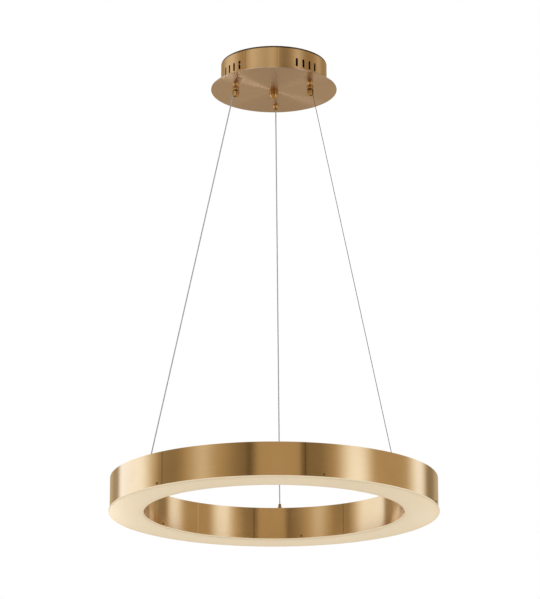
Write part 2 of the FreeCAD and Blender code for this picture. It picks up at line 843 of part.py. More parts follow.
def make_far_gland():
    """Short gland of the far cable: a stop clamped on the cable rests in its mouth."""
    azimuth = fitting_azimuth(0)
    throat = -S.gland_throat_deep
    body = new_body("gland_far")
    turn(body, [
        (jacket_bore, throat),
        (flared(S.fitting_stem_rise + S.gland_throat_deep), S.fitting_stem_rise),
        (S.fitting_stem_radius, S.fitting_stem_rise),
        (S.fitting_stem_radius, 0),
        (S.fitting_flange_radius, 0),
        (S.fitting_flange_radius, -S.fitting_flange_thick),
        (S.collar_cone_radius, -S.fitting_flange_thick),
        (S.gland_tip_radius, throat),
        (S.gland_tip_radius, -S.gland_foot),
        (flared(S.gland_foot - S.gland_throat_deep), -S.gland_foot),
    ])
    stand(body, gland_circle, azimuth, plate_face)
    make_lock_nut("gland_far_lock_nut", gland_circle, azimuth)


def make_cable_stop():
    """A round stop bored along the leaning cable, with a grub screw that clamps it."""
    azimuth = fitting_azimuth(0)
    stop = new_body("gland_far_stop")
    bore = jacket_bore
    half = S.stop_half_tall
    narrow = S.stop_radius - S.stop_bevel
    turn(stop, [
        (bore, -half), (narrow, -half), (S.stop_radius, S.stop_bevel - half),
        (S.stop_radius, half - S.stop_bevel), (narrow, half), (bore, half),
    ])
    sketch = draw_circle(sketch_on(stop, "YZ_Plane"), S.grub_radius)
    cut(stop, sketch, S.stop_radius)
    screw = new_body("gland_far_grub_screw")
    sketch = draw_circle(sketch_on(screw, "YZ_Plane", bore), S.grub_radius - S.cable_fit_gap)
    pad(screw, sketch, S.stop_radius - bore)
    for body in (stop, screw):
        out = fitting_circle - S.stop_rise * lean_slope
        lay_along_cable(body, out, azimuth, plate_face + S.stop_rise)


# ---------------------------------------------------------------- cables
def make_cable(side, number):
    """Steel core with a ball at its foot; two of the three have a clear jacket over the core."""
    slant = root(1 + lean_slope * lean_slope)
    whole = (cable_fall + S.cable_tail_height) * slant
    ball = doc.addObject("Part::Sphere", f"cable_{side}_ball")
    ball.Label = f"cable_{side}_ball"
    bind(ball, "Radius", S.cable_ball_radius)
    put(ball, bush_circle, fitting_azimuth(number), pivot_height)
    PIECES.append(ball)
    core = new_body(f"cable_{side}_core")
    turn(core, rectangle(0, S.cable_core_radius, S.cable_ball_radius, whole))
    made = [core]
    if side in JACKETED:
        jacket = new_body(f"cable_{side}_jacket")
        foot = (S.bush_tall + S.bush_top_tall - S.bush_pivot_rise + S.cable_jacket_radius) * slant
        inner = S.cable_core_radius + S.cable_fit_gap
        turn(jacket, rectangle(inner, S.cable_jacket_radius, foot, whole - S.cable_stripped))
        made.append(jacket)
    for body in made:
        lay_along_cable(body, bush_circle, fitting_azimuth(number), pivot_height)


# ---------------------------------------------------------------- ring
def make_band(label, inner, screw_count, screw_start):
    """A rolled strip with screw holes near its foot."""
    body = new_body(label)
    turn(body, rectangle(inner, inner + S.band_thick, ring_foot, ring_top))
    sketch = upright_sketch(body, screw_start, inner - S.band_thick)
    draw_circle(sketch, S.screw_hole_radius, 0, ring_foot + S.screw_rise)
    pattern(body, cut(body, sketch, 3 * S.band_thick), screw_count)


def make_ring_plate():
    """The ring's top: an annulus welded between the two bands, with the three bush holes."""
    body = new_body("ring_plate")
    inner = ring_inner + S.band_thick + S.weld_gap
    outer = S.ring_radius - S.band_thick - S.weld_gap
    foot = ring_top - S.ring_plate_thick
    turn(body, rectangle(inner, outer, foot, ring_top))
    radius = S.bush_stem_radius + S.bush_hole_clearance
    at_x = bush_circle * cosine(S.fitting_start)
    at_y = bush_circle * sine(S.fitting_start)
    sketch = draw_circle(flat_sketch(body, foot), radius, at_x, at_y)
    pattern(body, cut(body, sketch, S.ring_plate_thick), S.fitting_count)


def make_bush(side, number):
    """Two-step bush on the ring: the cable's ball is caught under its waisted bore."""
    azimuth = fitting_azimuth(number)
    body = new_body(f"bush_{side}")
    shoulder = S.bush_pivot_rise + S.bush_shoulder_rise
    waist = shoulder + S.bush_shoulder_tall
    top = S.bush_tall + S.bush_top_tall
    turn(body, [
        (S.bush_bore_radius, -S.bush_stem_long),
        (S.bush_stem_radius, -S.bush_stem_long),
        (S.bush_stem_radius, 0),
        (S.bush_radius, 0),
        (S.bush_radius, S.bush_tall),
        (S.bush_top_radius, S.bush_tall),
        (S.bush_top_radius, top),
        (core_bore + (top - S.bush_pivot_rise) * widest_slope, top),
        (core_bore + (waist - S.bush_pivot_rise) * widest_slope, waist),
        (S.bush_bore_radius, shoulder),
    ])
    stand(body, bush_circle, azimuth, ring_top)
    foot = -(S.ring_plate_thick + S.tag_thick + S.bush_nut_thick)
    bore = S.bush_stem_radius + S.thread_clearance
    nut = hex_nut(f"bush_{side}_nut", S.bush_nut_flats, bore, foot, S.bush_nut_thick)
    stand(nut, bush_circle, azimuth, ring_top)


def make_tag(side, number):
    """Washer under a bush nut: on the two supply cables it has a tail for the lead."""
    body = new_body(f"bush_{side}_tag")
    foot = -(S.ring_plate_thick + S.tag_thick)
    pad(body, draw_circle(flat_sketch(body, foot), S.tag_radius), S.tag_thick)
    if side in JACKETED:
        sketch = flat_sketch(body, foot)
        draw_outline(sketch, slot_band(S.board_bush_gap - S.tag_tail_gap, S.tag_tail_wide))
        pad(body, sketch, S.tag_thick)
    bore = S.bush_stem_radius + S.thread_clearance
    cut(body, draw_circle(flat_sketch(body, foot), bore), S.tag_thick)
    stand(body, bush_circle, fitting_azimuth(number), ring_top)


# ---------------------------------------------------------------- diffuser and its screws
def make_diffuser():
    """Opal tray: a flat face that laps both bands, with an upstand inside each of them."""
    body = new_body("diffuser")
    low = ring_foot - S.diffuser_thick
    high = ring_foot + S.diffuser_upstand_tall
    inner = ring_inner - S.diffuser_overhang
    outer = S.ring_radius + S.diffuser_overhang
    in_face = ring_inner + S.band_thick + S.diffuser_gap
    out_face = S.ring_radius - S.band_thick - S.diffuser_gap
    wall = S.diffuser_upstand_thick
    turn(body, [
        (inner, low), (outer, low), (outer, ring_foot), (out_face, ring_foot),
        (out_face, high), (out_face - wall, high), (out_face - wall, ring_foot),
        (in_face + wall, ring_foot), (in_face + wall, high), (in_face, high),
        (in_face, ring_foot), (inner, ring_foot),
    ])
    hole = S.screw_radius + S.thread_clearance
    starts = (
        (S.outer_screw_count, S.outer_screw_start, out_face - 2 * wall),
        (S.inner_screw_count, S.inner_screw_start, in_face - S.diffuser_gap),
    )
    for count, azimuth, near in starts:
        sketch = upright_sketch(body, azimuth, near)
        draw_circle(sketch, hole, 0, ring_foot + S.screw_rise)
        pattern(body, cut(body, sketch, 3 * wall), count)


def make_band_screws(label, face, outwards, count, azimuth):
    """Round-headed screws through a band into the diffuser's upstand."""
    body = new_body(label)
    height = ring_foot + S.screw_rise
    tip = face - outwards * S.screw_long
    head = face + outwards * S.screw_head_tall
    low, high = (tip, face) if outwards > 0 else (face, tip)
    sketch = draw_circle(upright_sketch(body, azimuth, low), S.screw_radius, 0, height)
    shank = pad(body, sketch, high - low)
    low, high = (face, head) if outwards > 0 else (head, face)
    sketch = draw_circle(upright_sketch(body, azimuth, low), S.screw_head_radius, 0, height)
    crown = pad(body, sketch, high - low)
    repeat = polar_step(body, count, 360)
    repeat.Originals = [shank, crown]
    body.Tip = repeat
    doc.recompute()


# ---------------------------------------------------------------- light source
def make_led_board():
    """Annular circuit board on the underside of the ring's top, with its fixing screws."""
    body = new_body("led_board")
    high = ring_top - S.ring_plate_thick
    turn(body, rectangle(board_inner, board_outer, high - S.board_thick, high))
    screws = new_body("led_board_screws")
    circle = (board_inner + board_outer) / 2
    foot = high - S.board_thick - S.screw_head_tall
    at_x = circle * cosine(S.board_screw_start)
    at_y = circle * sine(S.board_screw_start)
    sketch = draw_circle(flat_sketch(screws, foot), S.screw_head_radius, at_x, at_y)
    pattern(screws, pad(screws, sketch, S.screw_head_tall), S.board_screw_count)


def make_led_chips():
    """Two rows of small light sources all round the board's underside."""
    high = (ring_top - S.ring_plate_thick - S.board_thick).number
    middle = (board_inner.number + board_outer.number) / 2
    count = S.chips_in_row.number
    chips = []
    for row in range(S.chip_rows.number):
        circle = middle + (row - (S.chip_rows.number - 1) / 2) * S.chip_row_step.number
        for index in range(count):
            low_x = circle - S.chip_wide.number / 2
            corner = Vector(low_x, -S.chip_long.number / 2, high - S.chip_tall.number)
            chip = Part.makeBox(
                S.chip_wide.number, S.chip_long.number, S.chip_tall.number, corner
            )
            chip.rotate(Vector(0, 0, 0), Vector(0, 0, 1), 360 * (index + 0.5) / count)
            chips.append(chip)
    solid_group("led_chips", chips)


# ---------------------------------------------------------------- driver, terminals and leads
def make_driver():
    """Plastic driver case with two ears on the canopy plate's studs, and a lid let into its top."""
    body = new_body("driver_case")
    half_long, half_wide = S.driver_long / 2, S.driver_wide / 2
    low_y, high_y = S.driver_y - half_wide, S.driver_y + half_wide
    sketch = flat_sketch(body, plate_top)
    draw_outline(sketch, rectangle(-half_long, half_long, low_y, high_y))
    pad(body, sketch, S.driver_tall)
    reach = half_long + S.driver_ear_long
    half_ear = S.driver_ear_wide / 2
    sketch = flat_sketch(body, plate_top)
    ears = rectangle(-reach, reach, S.driver_y - half_ear, S.driver_y + half_ear)
    pad(body, draw_outline(sketch, ears), S.driver_ear_thick)
    bore = S.canopy_stud_radius + S.fitting_hole_clearance
    middle = half_long + S.driver_ear_long / 2
    for x in (-middle, middle):
        sketch = draw_circle(flat_sketch(body, plate_top), bore, x, S.driver_y)
        cut(body, sketch, S.driver_ear_thick)
    recess = [
        -half_long + S.driver_lid_inset, half_long - S.driver_lid_inset,
        low_y + S.driver_lid_inset, high_y - S.driver_lid_inset,
    ]
    top = plate_top + S.driver_tall
    sketch = draw_outline(flat_sketch(body, top - S.driver_lid_thick), rectangle(*recess))
    cut(body, sketch, S.driver_lid_thick)
    lid = new_body("driver_lid")
    gap = S.cable_fit_gap
    inside = [recess[0] + gap, recess[1] - gap, recess[2] + gap, recess[3] - gap]
    sketch = draw_outline(flat_sketch(lid, top - S.driver_lid_thick), rectangle(*inside))
    pad(lid, sketch, S.driver_lid_thick)


def make_terminal_block():
    """Three-pole mains block under the ceiling plate, with a clamp screw for each pole."""
    body = new_body("terminal_block")
    low_x, low_y = S.terminal_x - S.terminal_long / 2, S.terminal_y - S.terminal_wide / 2
    foot = can_top - S.terminal_tall
    sketch = flat_sketch(body, foot)
    outline = rectangle(low_x, low_x + S.terminal_long, low_y, low_y + S.terminal_wide)
    pad(body, draw_outline(sketch, outline), S.terminal_tall)
    screws = new_body("terminal_screws")
    pitch = S.terminal_long / S.terminal_poles
    for pole in range(S.terminal_poles.number):
        x = low_x + pitch * (pole + 0.5)
        sketch = draw_circle(
            flat_sketch(body, foot), S.terminal_screw_radius + S.cable_fit_gap, x, S.terminal_y
        )
        cut(body, sketch, S.terminal_screw_deep)
        sketch = draw_circle(flat_sketch(screws, foot), S.terminal_screw_radius, x, S.terminal_y)
        pad(screws, sketch, S.terminal_screw_deep)


def make_output_connector():
    body = new_body("output_connector")
    low_x, low_y = S.connector_x - S.connector_long / 2, S.connector_y - S.connector_wide / 2
    sketch = flat_sketch(body, plate_top)
    outline = rectangle(low_x, low_x + S.connector_long, low_y, low_y + S.connector_wide)
    pad(body, draw_outline(sketch, outline), S.connector_tall)


def make_leads():
    """Short leads: mains block to driver, driver to output connector, tags to the board."""
    radius = S.lead_radius.number
    reach = S.mains_lead_reach.number
    out_reach = S.output_lead_reach.number
    rise = S.output_lead_rise.number
    driver_top = plate_top.number + S.driver_tall.number
    driver_back = S.driver_y.number + S.driver_wide.number / 2
    block_front = S.terminal_y.number - S.terminal_wide.number / 2
    block_middle = can_top.number - S.terminal_tall.number / 2
    mains = []
    for pole in (0, 1):
        pitch = S.terminal_long.number / S.terminal_poles.number
        x = S.terminal_x.number - S.terminal_long.number / 2 + pitch * (pole + 0.5)
        low = driver_top - S.driver_tall.number / 3
        mains.append(tube_along([
            Vector(x, block_front, block_middle),
            Vector(x, block_front - reach, block_middle),
            Vector(x, driver_back + reach, low),
            Vector(x, driver_back, low),
        ], radius))
    solid_group("mains_leads", mains)
    outputs = []
    connector_front = S.connector_y.number - S.connector_wide.number / 2
    for sign in (-0.5, 0.5):
        x = S.connector_x.number + sign * S.lead_step.number
        height = plate_top.number + S.connector_tall.number / 2
        outputs.append(tube_along([
            Vector(x, driver_back, height + rise),
            Vector(x, driver_back + out_reach, height + rise),
            Vector(x, connector_front - out_reach, height),
            Vector(x, connector_front, height),
        ], radius))
    solid_group("output_leads", outputs)


def write_parts():
    """Checks every object and each sub-part's shape, then writes the STEP files."""
    doc.recompute()
    for item in doc.Objects:
        if "Invalid" in item.State or "Error" in item.State:
            raise ValueError(f"{item.Label} failed: {item.State}")
    os.makedirs("parts", exist_ok=True)
    for piece in PIECES:
        if piece.Shape.isNull() or not piece.Shape.isValid():
            raise ValueError(f"{piece.Label} has no valid shape")
        piece.Shape.exportStep(f"parts/{piece.Label}.step")
        print(f"{piece.Label}: {len(piece.Shape.Solids)} solid(s), {piece.Shape.Volume:.1f} mm3")


make_ceiling_plate()
make_centre_stud()
make_canopy_plate()
make_can()
make_canopy_studs()
make_cap_nut()
make_gripper("left", 1)
make_gripper("right", 2)
make_far_gland()
make_cable_stop()
for cable_side, cable_number in FITTINGS:
    make_cable(cable_side, cable_number)
    make_bush(cable_side, cable_number)
    make_tag(cable_side, cable_number)
make_band("outer_band", S.ring_radius - S.band_thick, S.outer_screw_count, S.outer_screw_start)
make_band("inner_band", ring_inner, S.inner_screw_count, S.inner_screw_start)
make_ring_plate()
make_diffuser()
make_band_screws(
    "outer_band_screws", S.ring_radius, 1, S.outer_screw_count, S.outer_screw_start
)
make_band_screws(
    "inner_band_screws", ring_inner, -1, S.inner_screw_count, S.inner_screw_start
)
make_led_board()
make_led_chips()
make_driver()
make_terminal_block()
make_output_connector()
make_leads()
write_parts()
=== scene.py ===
# %% [markdown]
# # Ring chandelier
# This lesson dresses one lamp: a gold ring with an opal face, hung on three thin cables from a round
# canopy. The lamp was built as solids first, and they are loaded here, in metres, with the origin at
# the ceiling and +Z up. What can be seen is modelled again with rounder curves, and what is hidden in
# the canopy and the ring keeps its solids and only gets materials. A lamp modelled freely could drift
# from the real sizes and joints, and a dressed one can't.

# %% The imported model
import json
import math
import bmesh
import bpy
from mathutils import Matrix, Vector


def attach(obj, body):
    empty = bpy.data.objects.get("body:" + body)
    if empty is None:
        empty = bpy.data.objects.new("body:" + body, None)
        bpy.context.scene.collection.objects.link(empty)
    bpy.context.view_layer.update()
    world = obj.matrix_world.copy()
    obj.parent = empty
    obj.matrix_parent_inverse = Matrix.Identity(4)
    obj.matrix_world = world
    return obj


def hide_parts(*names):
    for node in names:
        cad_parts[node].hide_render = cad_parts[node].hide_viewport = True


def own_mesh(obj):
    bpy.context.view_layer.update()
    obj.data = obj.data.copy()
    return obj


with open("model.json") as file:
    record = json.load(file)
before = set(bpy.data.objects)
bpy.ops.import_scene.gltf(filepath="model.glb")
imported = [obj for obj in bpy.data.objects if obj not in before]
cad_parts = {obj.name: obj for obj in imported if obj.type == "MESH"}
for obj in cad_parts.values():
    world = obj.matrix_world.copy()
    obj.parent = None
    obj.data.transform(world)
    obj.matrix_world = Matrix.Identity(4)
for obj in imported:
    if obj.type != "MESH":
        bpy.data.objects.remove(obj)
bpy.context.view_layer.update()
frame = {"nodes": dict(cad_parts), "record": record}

nodes = frame["nodes"]

# %% [markdown]
# ## Shared sizes
# Few heights and circles place the whole lamp: the can and its plate above, the ring below, and a
# circle of fittings on each. The cables lean between those circles, so their slope is worked out from
# them and not typed in. Profiles are drawn in millimetres, as a workshop would, and made metres once.

# %% Heights and circles in millimetres
MM = 0.001
CAN_TOP, PLATE_TOP, PLATE_FACE = -1.5, -50.0, -51.5
RING_TOP, RING_FOOT, RING_LOW = -813.5, -873.5, -876.5
PIVOT = -808.0
BUSH_CIRCLE, FITTING_CIRCLE = 252.0, 81.5
SIDES = {"far": 90.0, "left": 210.0, "right": 330.0}
SLOPE = (BUSH_CIRCLE - FITTING_CIRCLE) / (PLATE_FACE - PIVOT)
print("each cable leans", round(math.degrees(math.atan(SLOPE)), 2), "degrees")


# %% Points by azimuth
def outwards(azimuth, radius, height):
    """A point at an azimuth, a radius and a height, in metres."""
    turn = math.radians(azimuth)
    return Vector((radius * math.cos(turn), radius * math.sin(turn), height)) * MM


print("left fitting at", tuple(round(v, 4) for v in outwards(SIDES["left"], FITTING_CIRCLE, PLATE_FACE)))

# %% [markdown]
# ## Shader maths
# A procedural finish is mostly arithmetic on the point that is being shaded. Wired by hand, it fills a
# screen with boxes. Written as Python it reads as a formula, so Signal wraps one socket and turns each
# operator into a Math node. Board holds the nodes of one material or of the world, and its method add
# makes any other node. An image could hold the same marks, but it would blur close up.

# %% A socket that can be reckoned with
class Signal:
    """A socket whose sums are Math nodes."""

    def __init__(self, board, socket):
        self.board = board
        self.socket = socket

    def maths(self, operation, other=0.0, swap=False):
        first, second = (other, self) if swap else (self, other)
        return self.board.add("ShaderNodeMath", {"operation": operation}, {0: first, 1: second})

    def __add__(self, other):
        return self.maths("ADD", other)

    def __radd__(self, other):
        return self.maths("ADD", other, True)

    def __sub__(self, other):
        return self.maths("SUBTRACT", other)

    def __rsub__(self, other):
        return self.maths("SUBTRACT", other, True)

    def __mul__(self, other):
        return self.maths("MULTIPLY", other)

    def __rmul__(self, other):
        return self.maths("MULTIPLY", other, True)

    def __abs__(self):
        return self.maths("ABSOLUTE")

    def step(self, low, high, to_low=0.0, to_high=1.0):
        """A soft step between two values while the signal goes from low to high."""
        ends = {"Value": self, "From Min": low, "From Max": high, "To Min": to_low, "To Max": to_high}
        return self.board.add("ShaderNodeMapRange", {"interpolation_type": "SMOOTHSTEP"}, ends)


print("signals can be added, subtracted and multiplied")


# %% A board of nodes
class Board:
    """The nodes of a material or of the world, round the one shader that they feed."""

    def __init__(self, owner, shader="BSDF_PRINCIPLED", **constants):
        owner.use_nodes = True
        self.owner = owner
        self.tree = owner.node_tree
        self.shader = next(node for node in self.tree.nodes if node.type == shader)
        self.paint(**constants)

    def give(self, node, sockets):
        """Each socket gets its value or its link."""
        for key, value in sockets.items():
            if isinstance(value, Signal):
                self.tree.links.new(value.socket, node.inputs[key])
            else:
                node.inputs[key].default_value = value

    def add(self, kind, settings=None, sockets=None, out=0, stops=()):
        """Any node. Its settings and its ramp's stops, end stops first, are set before its sockets."""
        node = self.tree.nodes.new(kind)
        for key, value in (settings or {}).items():
            setattr(node, key, value)
        for index, (place, colour) in enumerate(stops):
            ramp = node.color_ramp.elements
            stop = ramp[index] if index < 2 else ramp.new(place)
            stop.position, stop.color = place, colour
        self.give(node, sockets or {})
        return Signal(self, node.outputs[out])

    def paint(self, **sockets):
        """Sockets of the shader itself, by name, with _ for a space."""
        self.give(self.shader, {key.replace("_", " "): value for key, value in sockets.items()})

    def place(self):
        """The point that is shaded, in the piece's own metres."""
        return self.add("ShaderNodeTexCoord", out="Object")

    def parts(self, vector):
        """The X, Y and Z of a vector."""
        first = self.add("ShaderNodeSeparateXYZ", sockets={0: vector})
        return [Signal(self, output) for output in first.socket.node.outputs]

    def vector(self, x, y, z):
        return self.add("ShaderNodeCombineXYZ", sockets={0: x, 1: y, 2: z})

    def stretched(self, vector, scale):
        return self.add("ShaderNodeVectorMath", {"operation": "MULTIPLY"}, {0: vector, 1: scale})

    def noise(self, vector, scale=1.0, detail=3.0, rough=0.5):
        sockets = {"Vector": vector, "Scale": scale, "Detail": detail, "Roughness": rough}
        return self.add("ShaderNodeTexNoise", sockets=sockets)

    def blend(self, factor, low, high):
        """A colour between two colours."""
        return self.add("ShaderNodeMix", {"data_type": "RGBA"}, {0: factor, 6: low, 7: high}, out=2)

    def bump(self, height, strength, distance):
        sockets = {"Height": height, "Strength": strength, "Distance": distance}
        return self.add("ShaderNodeBump", sockets=sockets)


print("a board adds any node with one method")

# %% Colours, and the shelf of finishes
PAINTS = {}


def rgb(red, green, blue):
    return (red, green, blue, 1.0)


def finish_board(name, **constants):
    """The board of a new finish, which is put on the shelf under its name."""
    PAINTS[name] = bpy.data.materials.new(name)
    return Board(PAINTS[name], **constants)


def from_axis(x, y):
    """How far a point is from the piece's Z axis."""
    return (x * x + y * y).maths("SQRT")


GOLD_LOW, GOLD_HIGH = rgb(0.64, 0.435, 0.225), rgb(0.80, 0.575, 0.33)
PALE_GOLD, WORN_GOLD = rgb(0.95, 0.80, 0.60), rgb(0.95, 0.82, 0.62)
CAN_SHADE, SEAM, SOFT_SEAM = rgb(0.035, 0.016, 0.006), rgb(0.30, 0.17, 0.08), rgb(0.34, 0.20, 0.09)
GROOVE_SHADE, TARNISH, GREY_FILM = rgb(0.02, 0.009, 0.004), rgb(0.12, 0.07, 0.03), rgb(0.20, 0.20, 0.20)
print("colours are written as linear light, gold from", GOLD_LOW[:3], "to", GOLD_HIGH[:3])

# %% [markdown]
# ## Brushed gold
# The bands and the can are thin sheet, brushed with an abrasive belt, coloured gold and rolled. The belt
# leaves fine marks that run round the piece. They could be drawn, or be real scratches in the mesh. Here
# a noise is squeezed hard along Z and left long around it, which gives marks at any distance for a few
# nodes. The shader's Anisotropic value then draws highlights out across the marks, as on real metal.

# %% Marks of the belt
BRUSH_ACROSS, BRUSH_ALONG = 5200.0, 26.0


def belt_marks(board, place):
    """Fine marks that run round the Z axis, and coarser ones under them."""
    fine = board.stretched(place, (BRUSH_ALONG, BRUSH_ALONG, BRUSH_ACROSS))
    broad = board.stretched(place, (BRUSH_ALONG * 0.35, BRUSH_ALONG * 0.35, BRUSH_ACROSS * 0.2))
    return board.noise(fine, 1.0, 2.0), board.noise(broad, 1.0, 2.0)


print("a mark is about", round(1000 / BRUSH_ACROSS, 2), "mm wide")

# %% [markdown]
# Handling rubs the sheet's edges bright, and each place where the sheet is joined or was held while it
# was rolled leaves an upright line. Both could be modelled, but they have no depth that an eye can find.
# So they are masks on the colour: a band near a height for wear, a band near a heading for a seam.

# %% Worn edges and seams
WEAR_REACH = 0.0012


def worn_edges(board, colour, z, cloud, edges):
    """The colour with patchy bright wear at some heights in metres."""
    for edge in edges:
        near = abs(z - edge).step(0.0, WEAR_REACH, 1.0, 0.0)
        colour = board.blend(near * cloud.step(0.35, 0.6, 0.2, 0.55), colour, WORN_GOLD)
    return colour


def upright_seams(board, colour, heading, seams):
    """The colour with lines: an azimuth and a half width in degrees, and a tint, for each."""
    for azimuth, half, tint in seams:
        near = abs(heading - azimuth).step(half * 0.4, half, 0.6, 0.0)
        colour = board.blend(near, colour, tint)
    return colour


print("wear reaches", round(WEAR_REACH / MM, 1), "mm from an edge")


# %% Brushed sheet
def brushed(name, low, high, roughness, edges, seams, coat=0.0, inside=None, head=None):
    """Metal brushed round the Z axis, with worn edges and seams. Within the radius inside the sheet gets
    painted shade, and above the height head a painted shadow darkens its top edge."""
    board = finish_board(
        name, Metallic=1.0, Anisotropic=0.9, Anisotropic_Rotation=0.25, Coat_Weight=coat, Coat_Roughness=0.2
    )
    place = board.place()
    x, y, z = board.parts(place)
    fine, broad = belt_marks(board, place)
    cloud = board.noise(place, 9.0, 4.0)
    mixed = fine * 0.4 + broad * 0.1 + cloud * 0.5
    colour = board.blend(mixed.step(0.2, 0.8), low, high)
    colour = worn_edges(board, colour, z, cloud, edges)
    heading = y.maths("ARCTAN2", x) * math.degrees(1)
    colour = upright_seams(board, colour, heading, seams)
    # Painted shade: inside the can the sheet is darkened so that the vents look dark, and a painted shadow
    # darkens the top edge under the ceiling plate.
    if inside is not None:
        colour = board.blend(from_axis(x, y).step(inside - 0.0002, inside, 1.0, 0.0), colour, CAN_SHADE)
    if head is not None:
        colour = board.blend(z.step(head - 0.0004, head) * 0.85, colour, CAN_SHADE)
    board.paint(
        Base_Color=colour,
        Roughness=mixed.step(0.25, 0.75, roughness - 0.03, roughness + 0.03),
        Normal=board.bump(fine, strength=0.07, distance=0.00003),
    )


brushed(
    "band_gold", GOLD_LOW, GOLD_HIGH, roughness=0.19, edges=(RING_TOP * MM, RING_FOOT * MM), coat=0.8,
    seams=((-128.3, 0.35, SEAM), (-77.1, 0.3, SEAM), (59.3, 0.3, SEAM), (101.7, 0.35, SEAM),
           (159.8, 0.5, SEAM), (129.4, 0.3, PALE_GOLD)),
)
# The can gets painted shade inside and a painted shadow along its top edge.
brushed(
    "can_gold", rgb(0.62, 0.405, 0.20), rgb(0.74, 0.505, 0.275), roughness=0.38, edges=(PLATE_TOP * MM,),
    seams=((-82.5, 0.45, PALE_GOLD), (-119.4, 0.5, SOFT_SEAM)), inside=0.1007, head=(CAN_TOP - 1.6) * MM,
)
print("brushed finishes", sorted(PAINTS))

# %% [markdown]
# ## Spun gold
# The canopy plate is turned in a lathe, and the tool leaves shallow rings that are too fine to see one
# by one. Each ring tilts the metal only inwards or outwards, so a lamp near the plate is drawn out into
# a thin bright streak from the middle. Modelled rings would need thousands of faces. A noise of the
# radius alone, fed to a shallow bump, gives the same tilt, and the streak comes out by itself.

# %% Spun plate
GROOVES_PER_METRE = 2400.0


def spun(name, low, high, roughness, depth):
    """Metal turned in circles about the Z axis, with grooves that are depth metres deep."""
    board = finish_board(name, Metallic=1.0, Anisotropic=1.0, Anisotropic_Rotation=0.25)
    place = board.place()
    x, y, z = board.parts(place)
    radius, angle = from_axis(x, y), y.maths("ARCTAN2", x)
    grooves = board.noise(board.vector(radius * GROOVES_PER_METRE, 0.0, 0.0), 1.0, 1.0)
    fine = board.noise(board.vector(radius * 900.0, angle * 1.2, z * 100.0), 1.0, 2.0)
    broad = board.noise(board.vector(radius * 160.0, angle * 0.6, z * 20.0), 1.0, 3.0)
    cloud = board.noise(place, 6.0, 3.0)
    mixed = fine * 0.3 + broad * 0.4 + cloud * 0.3
    board.paint(
        Base_Color=board.blend(mixed.step(0.25, 0.75), low, high),
        Roughness=mixed.step(0.25, 0.75, roughness - 0.02, roughness + 0.03),
        Normal=board.bump(grooves, strength=1.0, distance=depth),
    )


spun("ring_plate_gold", GOLD_LOW, GOLD_HIGH, roughness=0.30, depth=0.00001)
spun("plate_gold", rgb(0.57, 0.435, 0.365), rgb(0.62, 0.48, 0.41), roughness=0.21, depth=0.00008)
print("a groove is about", round(1000 / GROOVES_PER_METRE, 2), "mm wide")

# %% [markdown]
# ## Turned brass and steel
# Grippers, nuts and bushes are turned from bar. They show fine rings across their axis, and oil and
# tarnish sit in patches where nobody wipes. A plain metal colour looks like plastic on pieces this
# small. So thin rings change the colour a little, and a rougher patch of film lies over them.

# %% Turned metal
CUT_IN = 0.0001


def turned(name, low, high, roughness, film=TARNISH, groove=None):
    """Small turned metal. A groove is two heights and a radius in metres, and gets painted shade."""
    board = finish_board(name, Metallic=1.0, Anisotropic=0.5, Anisotropic_Rotation=0.25)
    place = board.place()
    rings = board.noise(board.stretched(place, (150.0, 150.0, 9000.0)), 1.0, 2.0)
    patches = board.noise(place, 420.0, 4.0, 0.6)
    colour = board.blend(rings.step(0.3, 0.7), low, high)
    colour = board.blend(patches.step(0.55, 0.75, 0.0, 0.35), colour, film)
    # Painted shade: the groove between barrel and sleeve is darkened to near black.
    if groove is not None:
        foot, head, reach = groove
        x, y, z = board.parts(place)
        groove_shade_mask = z.step(foot - CUT_IN, foot) * z.step(head, head + CUT_IN, 1.0, 0.0)
        groove_shade_mask = groove_shade_mask * from_axis(x, y).step(reach, reach + 2 * CUT_IN, 1.0, 0.0)
        colour = board.blend(groove_shade_mask, colour, GROOVE_SHADE)
    board.paint(
        Base_Color=colour,
        Roughness=patches.step(0.3, 0.7, roughness - 0.05, roughness + 0.12),
        Normal=board.bump(rings, strength=0.2, distance=0.00003),
    )


BARREL_GROOVE = (-0.0171, -0.0146, 0.0056)
turned("fitting_brass", rgb(0.40, 0.20, 0.07), rgb(0.74, 0.46, 0.19), 0.12, groove=BARREL_GROOVE)
turned("bush_brass", rgb(0.24, 0.14, 0.06), rgb(0.40, 0.25, 0.12), 0.26)
turned("screw_brass", rgb(0.20, 0.12, 0.05), rgb(0.32, 0.20, 0.09), 0.28)
turned("terminal_brass", rgb(0.60, 0.48, 0.24), rgb(0.78, 0.66, 0.40), 0.3)
turned("zinc_steel", rgb(0.42, 0.42, 0.41), rgb(0.62, 0.62, 0.61), 0.32, GREY_FILM)
turned("bright_steel", rgb(0.45, 0.45, 0.45), rgb(0.66, 0.66, 0.66), 0.2, GREY_FILM)
turned("cable_steel", rgb(0.24, 0.24, 0.25), rgb(0.42, 0.42, 0.43), 0.3, rgb(0.15, 0.15, 0.15))
print("finishes so far", len(PAINTS))

# %% [markdown]
# ## Plastic and paint
# The driver, the leads, the circuit board and the painted ceiling plate sit in the dark of the canopy
# and the ring. Moulded plastic has a fine grain from its mould and is never quite even. One function
# gives both with two noises, and only the colour and the roughness differ from piece to piece.

# %% Moulded and painted pieces
MOULD_GRAIN = 1400.0


def plastic(name, low, high, roughness):
    """Moulded plastic or paint, with a fine grain and faint cloudiness."""
    board = finish_board(name)
    place = board.place()
    fine = board.noise(place, MOULD_GRAIN, 2.0)
    cloud = board.noise(place, 45.0, 3.0)
    board.paint(
        Base_Color=board.blend((fine * 0.5 + cloud * 0.5).step(0.3, 0.7), low, high),
        Roughness=fine.step(0.3, 0.7, roughness - 0.05, roughness + 0.08),
        Normal=board.bump(fine, strength=0.25, distance=0.00005),
    )


